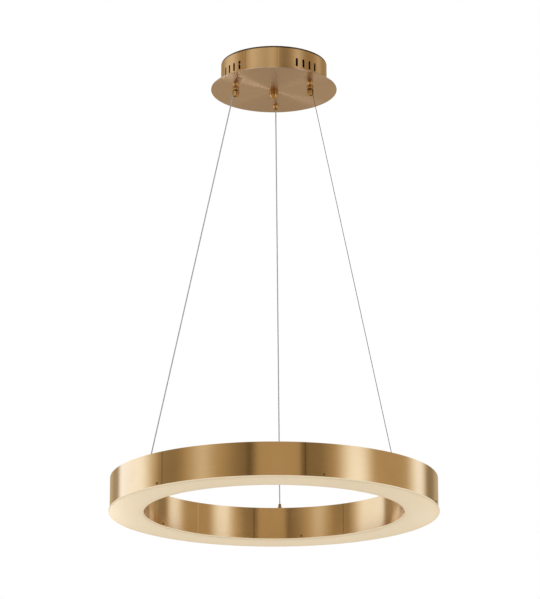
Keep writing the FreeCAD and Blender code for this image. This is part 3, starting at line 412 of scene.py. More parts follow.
plastic("dark_plate", rgb(0.030, 0.028, 0.026), rgb(0.050, 0.046, 0.042), 0.45)
plastic("circuit_board", rgb(0.72, 0.72, 0.70), rgb(0.82, 0.82, 0.80), 0.38)
plastic("light_source", rgb(0.86, 0.62, 0.14), rgb(0.95, 0.75, 0.25), 0.4)
# The driver is coloured near black as painted shade, so that the can's vents look dark inside.
plastic("driver_plastic", rgb(0.030, 0.029, 0.028), rgb(0.050, 0.048, 0.046), 0.5)
plastic("block_plastic", rgb(0.30, 0.29, 0.27), rgb(0.36, 0.35, 0.32), 0.42)
plastic("lead_jacket", rgb(0.50, 0.49, 0.47), rgb(0.60, 0.59, 0.57), 0.45)
print("finishes so far", len(PAINTS))

# %% [markdown]
# ## Opal sheet
# The ring's face is milky acrylic with light sources behind it. Its faint emission is painted light that
# keeps the downward face even and bright: strongest in the middle, and weaker towards both rims as
# painted shade where the bands stand in the way. Real lamps inside the ring would need many samples to
# come out clean. A faint emission that follows the radius comes out at once, and a little subsurface light
# softens the sheet.

# %% Opal face
FACE_MIDDLE = 0.270


def opal(name):
    """Opal sheet with a faint glow of painted light, and painted shade as thin grey rims at its underside."""
    board = finish_board(
        name, Subsurface_Weight=0.15, Subsurface_Scale=0.004, IOR=1.49, Emission_Strength=0.30,
        Specular_IOR_Level=0.25,
    )
    place = board.place()
    x, y, z = board.parts(place)
    from_middle = abs(from_axis(x, y) - FACE_MIDDLE)
    cloud, fine = board.noise(place, 7.0, 3.0), board.noise(place, 900.0, 2.0)
    warm = board.blend(cloud.step(0.3, 0.7), rgb(0.85, 0.72, 0.52), rgb(0.89, 0.77, 0.58))
    # Painted light: the emission is brightest in the middle, and painted shade dims it towards the rims.
    lit = from_middle.step(0.016, 0.033, 1.0, 0.0)
    glow = board.blend(lit, rgb(0.86, 0.70, 0.48), rgb(1.0, 0.85, 0.64))
    # Painted shade: thin grey rims along the edges of the underside.
    rim = from_middle.step(0.0300, 0.0316) * z.step(-0.8764, -0.8760, 1.0, 0.0)
    board.paint(
        Base_Color=board.blend(rim * 0.4, warm, rgb(0.50, 0.45, 0.41)),
        Emission_Color=board.blend(rim * 0.5, glow, rgb(0.30, 0.26, 0.22)),
        Roughness=fine.step(0.3, 0.7, 0.32, 0.44),
        Normal=board.bump(fine, strength=0.08, distance=0.00004),
    )


opal("opal_diffuser")
print("the glow is strongest", round(FACE_MIDDLE / MM), "mm from the axis")

# %% [markdown]
# ## Clear jacket
# Two of the cables also carry the supply, so a thin clear sleeve covers their steel. True refraction
# through a wall of half a millimetre costs many bounces and shows nothing. A pale surface that lets
# most of the steel through by its Alpha looks the same from any distance.

# %% Clear sleeve of a cable
def jacket(name):
    """Clear sleeve: partly seen through, and milky in places."""
    board = finish_board(name, IOR=1.45)
    cloud = board.noise(board.stretched(board.place(), (300.0, 300.0, 60.0)), 1.0, 3.0)
    board.paint(
        Base_Color=board.blend(cloud, rgb(0.64, 0.64, 0.66), rgb(0.78, 0.78, 0.80)),
        Alpha=cloud.step(0.3, 0.7, 0.62, 0.74),
        Roughness=cloud.step(0.3, 0.7, 0.18, 0.3),
    )


jacket("cable_jacket")

# %% A finish for every solid
SLOTS = {part["node"]: part["material_slot"] for part in frame["record"]["subparts"]}
for name, node in nodes.items():
    node.data.materials.clear()
    node.data.materials.append(PAINTS[SLOTS[name]])
print("finishes", len(PAINTS), "on", len(SLOTS), "solids")

# %% [markdown]
# ## Turned shapes
# Nearly every visible piece of this lamp is round about an axis: bands, plates, nuts and fittings. Such
# a shape is drawn as half of its cross-section and swept round, as a lathe does. Blender has a Spin
# tool and a Screw modifier for it. A function of our own also gives each face exact normals, and that
# keeps long reflections clean on the big thin bands. First, real edges are never sharp, so a small arc
# takes the place of each corner.

# %% Rounding the corners of a profile
TINY = 1e-6
NEARLY_STRAIGHT = math.radians(165)


def rounded(profile, radius, steps):
    """The closed profile with an arc at each corner off the axis, as far as the radius fits."""
    made = []
    for index, here in enumerate(profile):
        corner = Vector(here[:2])
        back = Vector(profile[index - 1][:2]) - corner
        ahead = Vector(profile[(index + 1) % len(profile)][:2]) - corner
        if here[0] <= TINY or back.angle(ahead) > NEARLY_STRAIGHT:
            made.append(here)
            continue
        reach = min(radius / math.tan(back.angle(ahead) / 2), 0.45 * back.length, 0.45 * ahead.length)
        start, end = corner + back.normalized() * reach, corner + ahead.normalized() * reach
        for step in range(steps + 1):
            share = step / steps
            point = start.lerp(corner, share).lerp(corner.lerp(end, share), share)
            made.append((point.x, point.y))
    return made


print("a square gets", len(rounded([(1, 0), (2, 0), (2, 1), (1, 1)], 0.1, 3)), "points")


# %% Sweeping a profile
def hex_share(angle):
    """How far a hexagon reaches at an angle, as a share of its corner radius."""
    part = math.radians((math.degrees(angle) + 360.0) % 60.0 - 30.0)
    return math.cos(math.radians(30)) / math.cos(part)


def sweep(points, segments):
    """The swept vertices in metres, and each point's own circle of them. A point that is marked
    "hex" goes round as a hexagon."""
    vertices, rows = [], []
    for point in points:
        if point[0] <= TINY:
            vertices.append((0.0, 0.0, point[1] * MM))
            rows.append([len(vertices) - 1] * segments)
            continue
        rows.append(list(range(len(vertices), len(vertices) + segments)))
        for step in range(segments):
            angle = 2 * math.pi * step / segments
            radius = point[0] * (hex_share(angle) if len(point) > 2 else 1.0)
            vertices.append((radius * math.cos(angle) * MM, radius * math.sin(angle) * MM, point[1] * MM))
    return vertices, rows


print("the flat of a hexagon reaches", round(hex_share(math.radians(30)), 3), "of its corner")

# %% [markdown]
# A normal says which way a surface faces, and so what it mirrors. Where two edges of the profile meet
# softly they share a normal and the corner disappears. Where they meet sharply each keeps its own.

# %% Normals of a profile
CREASE = math.radians(42)


def edge_normals(points):
    """For each edge of a closed profile, its normals at its start and at its end."""
    flats = []
    for here, after in zip(points, points[1:] + points[:1]):
        along = Vector(after[:2]) - Vector(here[:2])
        flats.append(Vector((along.y, -along.x)))

    def normal_at(index, edge):
        """The normal at a point, as one of its two edges sees it."""
        before, after = flats[index - 1], flats[index]
        if before.normalized().dot(after.normalized()) < math.cos(CREASE):
            return flats[edge].normalized()
        return (before + after).normalized()

    count = len(points)
    return [(normal_at(index, index), normal_at((index + 1) % count, index)) for index in range(count)]


print("corners over", round(math.degrees(CREASE)), "degrees stay sharp")


# %% Lathe
def lathe(name, profile, segments=96, steps=3, round_by=0.25):
    """The mesh that a closed profile of (radius, height) points in millimetres sweeps about Z."""
    points = rounded(profile, round_by, steps) if round_by else list(profile)
    vertices, rows = sweep(points, segments)
    faces, normals = [], []
    for index, (start, end) in enumerate(edge_normals(points)):
        low, high = rows[index], rows[(index + 1) % len(points)]
        if low[0] == low[1] and high[0] == high[1]:
            continue
        for step in range(segments):
            after = (step + 1) % segments
            kept = {}
            for row, flat, turns in ((low, start, (step, after)), (high, end, (after, step))):
                for here in turns:
                    kept.setdefault(row[here], (here, flat))
            faces.append(list(kept))
            for here, flat in kept.values():
                angle = 2 * math.pi * here / segments
                normals.append((flat.x * math.cos(angle), flat.x * math.sin(angle), flat.y))
    mesh = bpy.data.meshes.new(name)
    mesh.from_pydata(vertices, [], faces)
    mesh.shade_smooth()
    if all(len(point) == 2 for point in points):
        mesh.normals_split_custom_set(normals)
    mesh.validate()
    return mesh


print("a piece is swept in 96 steps where no other number is given")


# %% Plain sections, and a measure
def box_profile(inner, outer, low, high):
    return [(inner, low), (outer, low), (outer, high), (inner, high)]


def volume_of(mesh):
    """What a closed mesh holds, in cubic millimetres."""
    held = bmesh.new()
    held.from_mesh(mesh)
    volume = held.calc_volume(signed=True)
    held.free()
    return round(volume / MM ** 3, 1)


print("a profile is a list of points, such as", box_profile(1.0, 2.0, 0.0, 1.0))

# %% [markdown]
# ## Putting a piece in place
# A piece of a moving lamp needs three facts beside its shape: the body it rides on, so that it moves
# when its joint does, the name of its finish, and the solids it stands for, which are then hidden. Set
# by hand, one of the three is soon forgotten, so every piece passes through one function.

# %% Finishing a piece
def settled(held, name, crease=None):
    """The mesh of a finished bmesh, smooth but for edges sharper than the crease in degrees."""
    mesh = bpy.data.meshes.new(name)
    held.to_mesh(mesh)
    held.free()
    if crease is not None:
        soften(mesh, crease)
    return mesh


def soften(mesh, crease):
    mesh.shade_smooth()
    mesh.set_sharp_from_angle(angle=math.radians(crease))


def in_scene(name, data):
    """A new object of the scene."""
    thing = bpy.data.objects.new(name, data)
    bpy.context.scene.collection.objects.link(thing)
    return thing


def finish_piece(name, mesh, slot, body, cad, matrix=None):
    """Puts a made mesh in the scene, on its body, in place of its solids."""
    piece = in_scene(name, mesh)
    mesh.materials.append(PAINTS[slot])
    if matrix is not None:
        piece.matrix_world = matrix
    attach(piece, body)
    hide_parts(*cad)
    return piece


# %% Turned pieces and where they stand
def turned_piece(name, profile, slot, body, node, matrix=None, **ways):
    """Lathes a piece and finishes it in place of one solid."""
    mesh = lathe(name, profile, **ways)
    finish_piece(name, mesh, slot, body, [node], matrix)
    print(name, volume_of(mesh), "mm3")


def standing(radius, azimuth, height):
    """Where a piece stands upright with its own X outwards."""
    turn = Matrix.Rotation(math.radians(azimuth), 4, "Z")
    return Matrix.Translation(outwards(azimuth, radius, height)) @ turn


print("pieces stand on circles of", FITTING_CIRCLE, "and", BUSH_CIRCLE, "mm")

# %% [markdown]
# ## Bands and top of the ring
# The ring is a hollow of sheet metal: an outer and an inner band, a millimetre thick, and a flat top
# between them. A tube primitive would be close, but a lathe profile carries the rolled edge, where a
# thin line of light runs. The outline is large in the picture, so it gets 720 steps round.

# %% Rolled bands and ring plate
ROUND, SHEET = 720, 1.0
OUTER_RADIUS, INNER_RADIUS = 300.0, 240.0
for side, low, high in (
    ("outer", OUTER_RADIUS - SHEET, OUTER_RADIUS), ("inner", INNER_RADIUS, INNER_RADIUS + SHEET)
):
    band = box_profile(low, high, RING_FOOT, RING_TOP)
    turned_piece(f"{side}_band_skin", band, "band_gold", "ring", f"{side}_band", segments=ROUND, round_by=0.3)
top = box_profile(241.05, 298.95, RING_TOP - 1.5, RING_TOP)
turned_piece(
    "ring_plate_skin", top, "ring_plate_gold", "ring", "ring_plate", segments=ROUND, steps=2, round_by=0.1
)

# %% [markdown]
# ## Opal face of the ring
# The face is one acrylic sheet a little wider than the bands, with two low lips that clip between them.
# It could be a flat disc, but its rim shows from below as a soft pale edge. So the whole section is
# drawn, lips and all, and its corners are rounder than the metal's.

# %% Diffuser with its two lips
LIP_TOP = RING_FOOT + 9.5
DIFFUSER = [
    (238.0, RING_LOW), (302.0, RING_LOW), (302.0, RING_FOOT), (298.9, RING_FOOT), (298.9, LIP_TOP),
    (296.4, LIP_TOP), (296.4, RING_FOOT), (243.6, RING_FOOT), (243.6, LIP_TOP), (241.1, LIP_TOP),
    (241.1, RING_FOOT), (238.0, RING_FOOT),
]
turned_piece(
    "diffuser_sheet", DIFFUSER, "opal_diffuser", "ring", "diffuser", segments=ROUND, steps=4, round_by=0.6
)

# %% [markdown]
# ## Screws of the bands
# Small round-headed screws go through the bands and hold the lips. In the picture each is one dark
# dot, yet close up a head without a socket looks like a rivet. One screw is lathed, with two hexagon
# points in its profile for the socket. It is then copied round the band and joined into one mesh,
# since the screws of a band never move apart.

# %% Round-headed screws
SCREW = [
    (0.0, -4.2), (1.3, -4.2), (1.45, -3.9), (1.45, 0.0), (2.3, 0.0), (2.3, 0.35), (2.05, 0.8), (1.5, 1.1),
    (0.95, 1.2), (0.9, 1.15, "hex"), (0.9, 0.35, "hex"), (0.0, 0.2),
]


def screw_set(name, radius, sign, count, start, cad):
    """Screws round a band, which face outwards for a sign of 1 and inwards for -1."""
    single = lathe(name + "_one", SCREW, segments=24, round_by=0.0)
    joined = bmesh.new()
    for index in range(count):
        azimuth = start + 360 * index / count
        facing = Matrix.Rotation(math.radians(90 * sign), 4, "Y")
        copy = single.copy()
        copy.transform(standing(radius, azimuth, RING_FOOT + 4.5) @ facing)
        joined.from_mesh(copy)
    finish_piece(name, settled(joined, name, crease=35), "screw_brass", "ring", cad)
    print(name, count, "screws")


screw_set("outer_band_screw_set", OUTER_RADIUS, 1, count=6, start=49.3, cad=["outer_band_screws"])
screw_set("inner_band_screw_set", INNER_RADIUS, -1, count=5, start=8.0, cad=["inner_band_screws"])

# %% [markdown]
# ## Cutting slots
# The can has vents and the grippers have cable slots, all punched or milled through a wall. A painted
# dark shape would show no wall thickness from the side. A Boolean modifier takes a real prism away from
# the mesh and leaves clean walls. It runs once, and only its result is kept.

# %% Taking a cutter away
def cut_out(mesh, cutter):
    """The mesh with the cutter taken away."""
    target, tool = in_scene("cut_target", mesh), in_scene("cut_tool", cutter)
    boolean = target.modifiers.new("cut", "BOOLEAN")
    boolean.operation = "DIFFERENCE"
    boolean.solver = "EXACT"
    boolean.object = tool
    bpy.context.view_layer.update()
    graph = bpy.context.evaluated_depsgraph_get()
    made = bpy.data.meshes.new_from_object(target.evaluated_get(graph))
    for helper in (target, tool):
        bpy.data.objects.remove(helper)
    return made


def skin(held, rows):
    """Faces between rows of vertices, and a cap at each end."""
    for before, after in zip(rows, rows[1:]):
        for corner in range(len(before)):
            other = (corner + 1) % len(before)
            held.faces.new((before[corner], before[other], after[other], after[corner]))
    held.faces.new(rows[0][::-1])
    held.faces.new(rows[-1])


print("cutters are taken away by the exact solver")

# %% Slots with round ends
ARC_STEPS = 12


def slot_outline(low, high, wide):
    """An upright slot with round ends, as (across, up) points."""
    outline = []
    for middle, start in ((high - wide / 2, 0.0), (low + wide / 2, math.pi)):
        for step in range(ARC_STEPS + 1):
            turn = start + math.pi * step / ARC_STEPS
            outline.append((wide / 2 * math.cos(turn), middle + wide / 2 * math.sin(turn)))
    return outline


def slot_cutters(azimuths, radius, outline, deep):
    """Prisms of an outline that point outwards through a wall."""
    held = bmesh.new()
    for azimuth in azimuths:
        facing = Matrix.Rotation(math.radians(azimuth), 4, "Z")
        rows = []
        for depth in (radius - deep, radius + deep):
            points = [facing @ (Vector((depth, across, up)) * MM) for across, up in outline]
            rows.append([held.verts.new(point) for point in points])
        skin(held, rows)
    bmesh.ops.recalc_face_normals(held, faces=held.faces)
    return settled(held, "slot_cutters")


print("a slot's outline has", len(slot_outline(0.0, 17.0, 4.5)), "points")

# %% [markdown]
# ## Canopy can
# The can is a rolled and spot-welded drum with four groups of four vents. After the cut, Blender would
# shade the wall from its new faces, and each vent would drag a smear through the reflection. So every
# corner of the round wall gets the normal of a true cylinder again, and all other faces keep their own.

# %% Normals of a true cylinder
WALL_LIKE = 0.995


def wall_normals(mesh):
    """Turned walls get radial normals again, and every other face its own."""
    normals = []
    for polygon in mesh.polygons:
        for index in polygon.vertices:
            at = mesh.vertices[index].co
            out = Vector((at.x, at.y, 0)).normalized()
            facing = polygon.normal.dot(out)
            normals.append(out * math.copysign(1, facing) if abs(facing) > WALL_LIKE else polygon.normal)
    mesh.shade_smooth()
    mesh.normals_split_custom_set([tuple(normal) for normal in normals])
    return mesh


print("a wall is what leans less than", round(math.degrees(math.acos(WALL_LIKE)), 1), "degrees")

# %% Can with its vents
CAN_OUTSIDE, CAN_INSIDE, FLANGE_INSIDE = 101.0, 100.0, 91.0
CAN = [
    (FLANGE_INSIDE, PLATE_TOP), (CAN_OUTSIDE - 0.25, PLATE_TOP), (CAN_OUTSIDE, PLATE_TOP + 0.25),
    (CAN_OUTSIDE, CAN_TOP - 0.2), (CAN_OUTSIDE - 0.2, CAN_TOP), (CAN_INSIDE, CAN_TOP),
    (CAN_INSIDE, PLATE_TOP + 1.0), (FLANGE_INSIDE, PLATE_TOP + 1.0),
]
VENT_GROUPS, VENTS_IN_GROUP, FIRST_VENT, VENT_PITCH = 4, 4, 27.85, 8.2
VENT_FOOT, VENT_TALL, VENT_WIDE = PLATE_TOP + 11.9, 17.0, 4.5
vents = [
    FIRST_VENT + 360 / VENT_GROUPS * group + VENT_PITCH * vent
    for group in range(VENT_GROUPS) for vent in range(VENTS_IN_GROUP)
]
vent_outline = slot_outline(VENT_FOOT, VENT_FOOT + VENT_TALL, VENT_WIDE)
cutters = slot_cutters(vents, (CAN_INSIDE + CAN_OUTSIDE) / 2, vent_outline, deep=3.0)
can = wall_normals(cut_out(lathe("can_wall", CAN, segments=360, round_by=0.0), cutters))
finish_piece("canopy_can_skin", can, "can_gold", "canopy", ["canopy_can"])
print("can with", len(vents), "vents,", len(can.polygons), "faces")

# %% [markdown]
# ## Canopy plate, cap nut and washer
# The turned plate closes the can from below. It hangs on a centre stud, and a domed cap nut with a wide
# washer holds it up, so that the lamp can be opened by hand. All three are lathe work. The nut is a body
# of its own, since it turns when the canopy is taken down.

# %% Plate, cap nut and washer
STUD_HOLE, PLATE_RADIUS, WASHER_RADIUS, CAP_FOOT = 4.1, 120.0, 9.2, -52.5
CAP = [
    (0.0, -68.5), (2.8, -68.2), (4.95, -67.2), (6.6, -65.6), (7.6, -63.6), (8.15, -61.6), (8.3, -60.0),
    (8.3, -53.3), (8.05, -52.8), (7.5, CAP_FOOT), (4.08, CAP_FOOT), (4.08, -64.5), (0.0, -64.5),
]
plate = box_profile(STUD_HOLE, PLATE_RADIUS, PLATE_FACE, PLATE_TOP)
turned_piece(
    "canopy_plate_skin", plate, "plate_gold", "canopy", "canopy_plate", segments=360, steps=4, round_by=0.5
)
turned_piece("cap_nut_body", CAP, "fitting_brass", "cap_nut", "cap_nut", steps=2, round_by=0.35)
washer = box_profile(STUD_HOLE, WASHER_RADIUS, CAP_FOOT, PLATE_FACE)
turned_piece("cap_washer_disc", washer, "fitting_brass", "canopy", "cap_washer", round_by=0.3)

# %% [markdown]
# ## Side-outlet grippers
# A gripper holds a cable by three small balls in a tapered chamber. Its collar screws through the
# plate, its barrel holds the balls, and a sleeve is pushed up to free the cable, which leaves through a
# slot in the side. The outside alone would do for a still picture. But the sleeve slides, so all three
# are made with their true bores, and what was behind the sleeve is there when it moves.

# %% Profiles below the plate's underside
def arc(radius, height, reach, start, end, steps=4):
    """Points of an arc round (radius, height), between two angles in degrees."""
    turns = [math.radians(start + (end - start) * step / steps) for step in range(steps + 1)]
    return [(radius + reach * math.cos(turn), height + reach * math.sin(turn)) for turn in turns]


COLLAR = [
    (3.25, -8.0), (4.0, -8.0), (4.0, -6.0), (3.5, -6.0), (3.5, -5.0), (5.8, -1.2), (6.5, -1.2),
    (6.5, 0.0), (5.0, 0.0), (5.0, 6.7), (4.8, 7.0), (2.98, 7.0), (1.4, 0.0),
]
BARREL = [
    (4.08, -6.0), (4.85, -6.0), (6.25, -7.4), (6.25, -14.6), (5.45, -14.6), (5.45, -12.0), (4.2, -12.0),
    (4.2, -21.4), (3.8, -21.4), (3.8, -22.3), (4.2, -22.3), (4.2, -23.0), (3.1, -23.0), (3.1, -10.6),
    (4.25, -10.6), (4.25, -8.0), (4.08, -8.0),
]
SLEEVE = [
    (1.6, -27.2), *arc(3.25, -24.2, 3.0, -90, 0), (6.25, -17.1), (5.35, -17.1), (5.35, -15.4),
    (4.3, -15.4), (4.3, -21.3), (5.1, -21.3), (5.1, -25.6), (2.9, -25.6), (2.9, -12.8), (1.6, -12.8),
]
print("collar", len(COLLAR), "barrel", len(BARREL), "sleeve", len(SLEEVE), "points")


# %% Slotted pieces
def side_slot(reach, wide, low, high):
    """A box from the axis outwards along X, in the piece's own frame."""
    held = bmesh.new()
    middle = Vector((reach / 2, 0.0, (low + high) / 2)) * MM
    for vertex in bmesh.ops.create_cube(held, size=1.0)["verts"]:
        corner = Vector((vertex.co.x * reach, vertex.co.y * wide, vertex.co.z * (high - low)))
        vertex.co = corner * MM + middle
    return settled(held, "side_slot")


def slotted_piece(name, profile, slot, body, node, matrix):
    """A small turned piece with a cable slot in its side."""
    mesh = cut_out(lathe(name, profile, segments=64, steps=2, round_by=0.12), slot)
    soften(mesh, crease=30)
    finish_piece(name, mesh, "fitting_brass", body, [node], matrix)
    print(name, volume_of(mesh), "mm3")


for side in ("left", "right"):
    stand, gripper = standing(FITTING_CIRCLE, SIDES[side], PLATE_FACE), f"gripper_{side}"
    turned_piece(
        f"{gripper}_collar_body", COLLAR, "fitting_brass", "canopy", f"{gripper}_collar", stand,
        segments=64, steps=2, round_by=0.15,
    )
    slot = side_slot(reach=4.9, wide=3.2, low=-23.1, high=-10.5)
    slotted_piece(f"{gripper}_barrel_body", BARREL, slot, "canopy", f"{gripper}_barrel", stand)
    slot = side_slot(reach=13.0, wide=2.9, low=-27.3, high=-12.7)
    slotted_piece(f"{gripper}_sleeve_body", SLEEVE, slot, f"sleeve_{side}", f"{gripper}_sleeve", stand)

# %% [markdown]
# ## Springs
# A small spring pushes each sleeve down again. A curve with a bevel would give the wire as well, but a
# mesh helix can be measured and exported as it is. The coil is one fixed mesh, so it would stick through a
# pushed sleeve.

# %% A coil of wire
SPRING_RADIUS, SPRING_WIRE, SPRING_TURNS = 5.155, 0.2, 2
SPRING_FOOT, SPRING_HEAD = -15.1, -12.3


def spring_coil(name, per_turn=32, sides=10):
    """A coil of round wire about the Z axis."""
    held = bmesh.new()
    rows = []
    steps = SPRING_TURNS * per_turn
    for step in range(steps + 1):
        heading = 360 * step / per_turn
        height = SPRING_FOOT + (SPRING_HEAD - SPRING_FOOT) * step / steps
        row = []
        for corner in range(sides):
            turn = 2 * math.pi * corner / sides
            reach, rise = SPRING_WIRE * math.cos(turn), SPRING_WIRE * math.sin(turn)
            row.append(held.verts.new(outwards(heading, SPRING_RADIUS + reach, height + rise)))
        rows.append(row)
    skin(held, rows)
    bmesh.ops.recalc_face_normals(held, faces=held.faces)
    return settled(held, name, crease=60)


for side in ("left", "right"):
    stand = standing(FITTING_CIRCLE, SIDES[side], PLATE_FACE)
    name = f"gripper_{side}_coil"
    coil = finish_piece(name, spring_coil(name), "bright_steel", "canopy", [f"gripper_{side}_spring"], stand)
    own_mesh(coil)

# %% [markdown]
# ## Far gland and ring bushes
# The far cable goes straight through a short gland and is clamped above the plate. At the ring each
# cable ends in a bush that is screwed through the top plate. A Boolean would only slow these down, as
# they have no slot, so one lathe profile each is enough.

# %% Gland
GLAND_BORE = -5.0
GLAND = [
    (2.35, -9.0), (3.5, -9.0), (3.5, -5.4), (3.9, -5.0), (5.8, -1.2), (6.5, -1.2), (6.5, 0.0),
    (5.0, 0.0), (5.0, 6.7), (4.8, 7.0), (4.1, 7.0), (1.4, GLAND_BORE),
]
stand = standing(FITTING_CIRCLE - GLAND_BORE * SLOPE, SIDES["far"], PLATE_FACE)
turned_piece(
    "gland_far_body", GLAND, "fitting_brass", "canopy", "gland_far", stand, segments=64, round_by=0.2
)

# %% Bushes
BUSH = [
    (2.0, -9.0), (3.0, -9.0), (3.0, 0.0), (3.5, 0.0), (3.5, 5.0), (2.7, 5.0), (2.7, 10.0), (2.0, 10.0),
    (1.75, 7.2), (2.0, 6.4),
]
for side, azimuth in SIDES.items():
    stand = standing(BUSH_CIRCLE, azimuth, RING_TOP)
    turned_piece(
        f"bush_{side}_body", BUSH, "bush_brass", "ring", f"bush_{side}", stand, segments=64, round_by=0.3
    )

# %% [markdown]
# ## Cables
# The cable is steel rope of seven strands, 1.4 mm thick in all, with six of them twisted round the
# seventh. A smooth cylinder with a striped bump looks right from afar but has the wrong outline close
# up. Real strands cost little here, since they are thin and need few sides. Each cable is built upright
# in a frame of its own, with its origin at its ball end, and then leaned into place.

# %% The frame of a leaning cable
def along_cable(azimuth):
    """The cable's own frame: origin at its ball, Z up the cable, X outwards."""
    top, foot = outwards(azimuth, FITTING_CIRCLE, PLATE_FACE), outwards(azimuth, BUSH_CIRCLE, PIVOT)
    up = (top - foot).normalized()
    turn = math.radians(azimuth)
    across = Vector((math.sin(turn), -math.cos(turn), 0))
    out = across.cross(up).normalized() * -1
    return Matrix.Translation(foot) @ Matrix((out, up.cross(out), up)).transposed().to_4x4()


print("far ball at", tuple(round(v, 4) for v in along_cable(SIDES["far"]).translation))

# %% Twisted strands
CABLE_RADIUS, LAY = 0.7, 9.0


def strand_row(held, height, orbit, angle, radius, sides):
    """One ring of vertices round a strand that twists about the Z axis."""
    centre = Vector((orbit * math.cos(angle), orbit * math.sin(angle), height))
    pitch = Vector((-orbit * math.sin(angle), orbit * math.cos(angle), LAY / (2 * math.pi)))
    side = Vector((math.cos(angle), math.sin(angle), 0))
    third = pitch.normalized().cross(side)
    row = []
    for corner in range(sides):
        turn = 2 * math.pi * corner / sides
        offset = side * math.cos(turn) + third * math.sin(turn)
        row.append(held.verts.new((centre + offset * radius) * MM))
    return row


def strands(name, low, high, per_turn=8, sides=6):
    """A straight middle strand and six that twist round it, as one mesh along Z."""
    held = bmesh.new()
    radius = CABLE_RADIUS / 3
    for strand in range(7):
        orbit = 0.0 if strand == 0 else 2 * radius * 0.98
        steps = 2 if strand == 0 else int((high - low) / LAY * per_turn)
        rows = []
        for step in range(steps + 1):
            height = low + (high - low) * step / steps
            angle = 2 * math.pi * ((height - low) / LAY + strand / 6)
            rows.append(strand_row(held, height, orbit, angle, radius, sides))
        skin(held, rows)
    return settled(held, name, crease=70)


print("a strand goes round once in", LAY, "mm")

# %% Three cables, two of them in a clear jacket
SLANT = math.sqrt(1 + SLOPE * SLOPE)
WHOLE = (PLATE_FACE - PIVOT + 26.0) * SLANT
BALL_TOP = 1.8
JACKET_BORE, JACKET_RADIUS = 0.72, 1.15
JACKET_FOOT, JACKET_TOP = (4.5 + JACKET_RADIUS) * SLANT, WHOLE - 6.0
for side, azimuth in SIDES.items():
    matrix = along_cable(azimuth)
    core = strands(f"cable_{side}_rope", BALL_TOP, WHOLE)
    finish_piece(f"cable_{side}_rope", core, "cable_steel", f"cable_{side}", [f"cable_{side}_core"], matrix)
    if side != "right":
        turned_piece(
            f"cable_{side}_clear", box_profile(JACKET_BORE, JACKET_RADIUS, JACKET_FOOT, JACKET_TOP),
            "cable_jacket", f"cable_{side}", f"cable_{side}_jacket", matrix,
            segments=24, steps=2, round_by=0.1,
        )
print("cable length", round(WHOLE, 1), "mm,", len(core.polygons), "faces each")

# %% [markdown]
# ## Camera
# The picture looks up at the lamp from below the ring, from nearly 5 m away, a little to one side. The
# place and the lens were found from the two ellipses that the ring and the canopy plate make, because
# a near and a far circle of known size fix a camera. Lens shift or a crop could also match the picture,
# but a plain camera is easier to move later.

# %% Camera from the two ellipses
CAMERA_DISTANCE, CAMERA_HEIGHT = 4.936, -1.938
TWIST, LOOK_UP, LOOK_ASIDE = math.radians(2.5), math.radians(16.58), 0.0015
PICTURE_HEIGHT, FOCAL_PIXELS, SENSOR = 599, 2756.3, 36.0
camera = in_scene("camera", bpy.data.cameras.new("camera"))
camera.location = (CAMERA_DISTANCE * math.sin(TWIST), -CAMERA_DISTANCE * math.cos(TWIST), CAMERA_HEIGHT)
camera.rotation_euler = (math.radians(90) + LOOK_UP, 0.0, TWIST + LOOK_ASIDE)
camera.data.sensor_fit = "VERTICAL"
camera.data.sensor_height = SENSOR
camera.data.lens = FOCAL_PIXELS / PICTURE_HEIGHT * SENSOR
camera.data.clip_end = 100.0
bpy.context.scene.camera = camera
bpy.context.scene.view_settings.view_transform = "Standard"
print("camera at", [round(v, 3) for v in camera.location], "lens", round(camera.data.lens, 1), "mm")

# %% [markdown]
# ## Floor
# A studio floor catches stray light and gives the eye a level when the lamp is seen from above. A grey
# floor could be lit up, but more light would also fall on the lamp. So the floor adds a little white of
# its own, which only camera rays see, and nothing that the lamp mirrors is changed by it.

# %% Pale floor
FLOOR_HALF, FLOOR_HEIGHT = 12, -2.35
corners = [(x * FLOOR_HALF, y * FLOOR_HALF, FLOOR_HEIGHT) for x, y in ((-1, -1), (1, -1), (1, 1), (-1, 1))]
floor_mesh = bpy.data.meshes.new("floor")
floor_mesh.from_pydata(corners, [], [(0, 1, 2, 3)])
floor = in_scene("floor", floor_mesh)
pale = Board(bpy.data.materials.new("floor_pale"), Roughness=0.8, Emission_Strength=1.0)
looked_at = pale.add("ShaderNodeLightPath", out="Is Camera Ray")
pale.paint(
    Base_Color=pale.blend(pale.noise(pale.place(), 1.5, 3.0), rgb(0.80, 0.79, 0.77), rgb(0.84, 0.83, 0.81)),
    Emission_Color=pale.blend(looked_at, rgb(0.0, 0.0, 0.0), rgb(0.42, 0.42, 0.43)),
)
floor_mesh.materials.append(pale.owner)
print("floor", 2 * FLOOR_HALF, "m wide at", FLOOR_HEIGHT, "m")

# %% [markdown]
# ## Lamps
# Four large soft boxes round the lamp give the opal face and the dark pieces an even light. Metal
# would mirror them as hard squares, so reflections don't see them. The streak on the turned plate needs
# a small bright source that reflections do see. Two narrow strips stand low behind the lamp for it,
# inside the studio wall, since light from behind the wall would be hidden.

# %% Soft boxes and strips
def area_light(name, azimuth, level, size, distance, height, aim_height):
    """A soft light at an azimuth, counted from the camera towards +X. Its power grows with its area,
    so that the level says how bright its face is."""
    light = bpy.data.lights.new(name, "AREA")
    light.shape = "RECTANGLE"
    light.size, light.size_y = size
    light.energy = level * math.pi * size[0] * size[1]
    lamp = in_scene(name, light)
    turn = math.radians(azimuth) + TWIST
    lamp.location = (distance * math.sin(turn), -distance * math.cos(turn), height)
    aim = Vector((0, 0, aim_height)) - lamp.location
    lamp.rotation_euler = aim.to_track_quat("-Z", "Y").to_euler()
    lamp.visible_camera = False
    return lamp


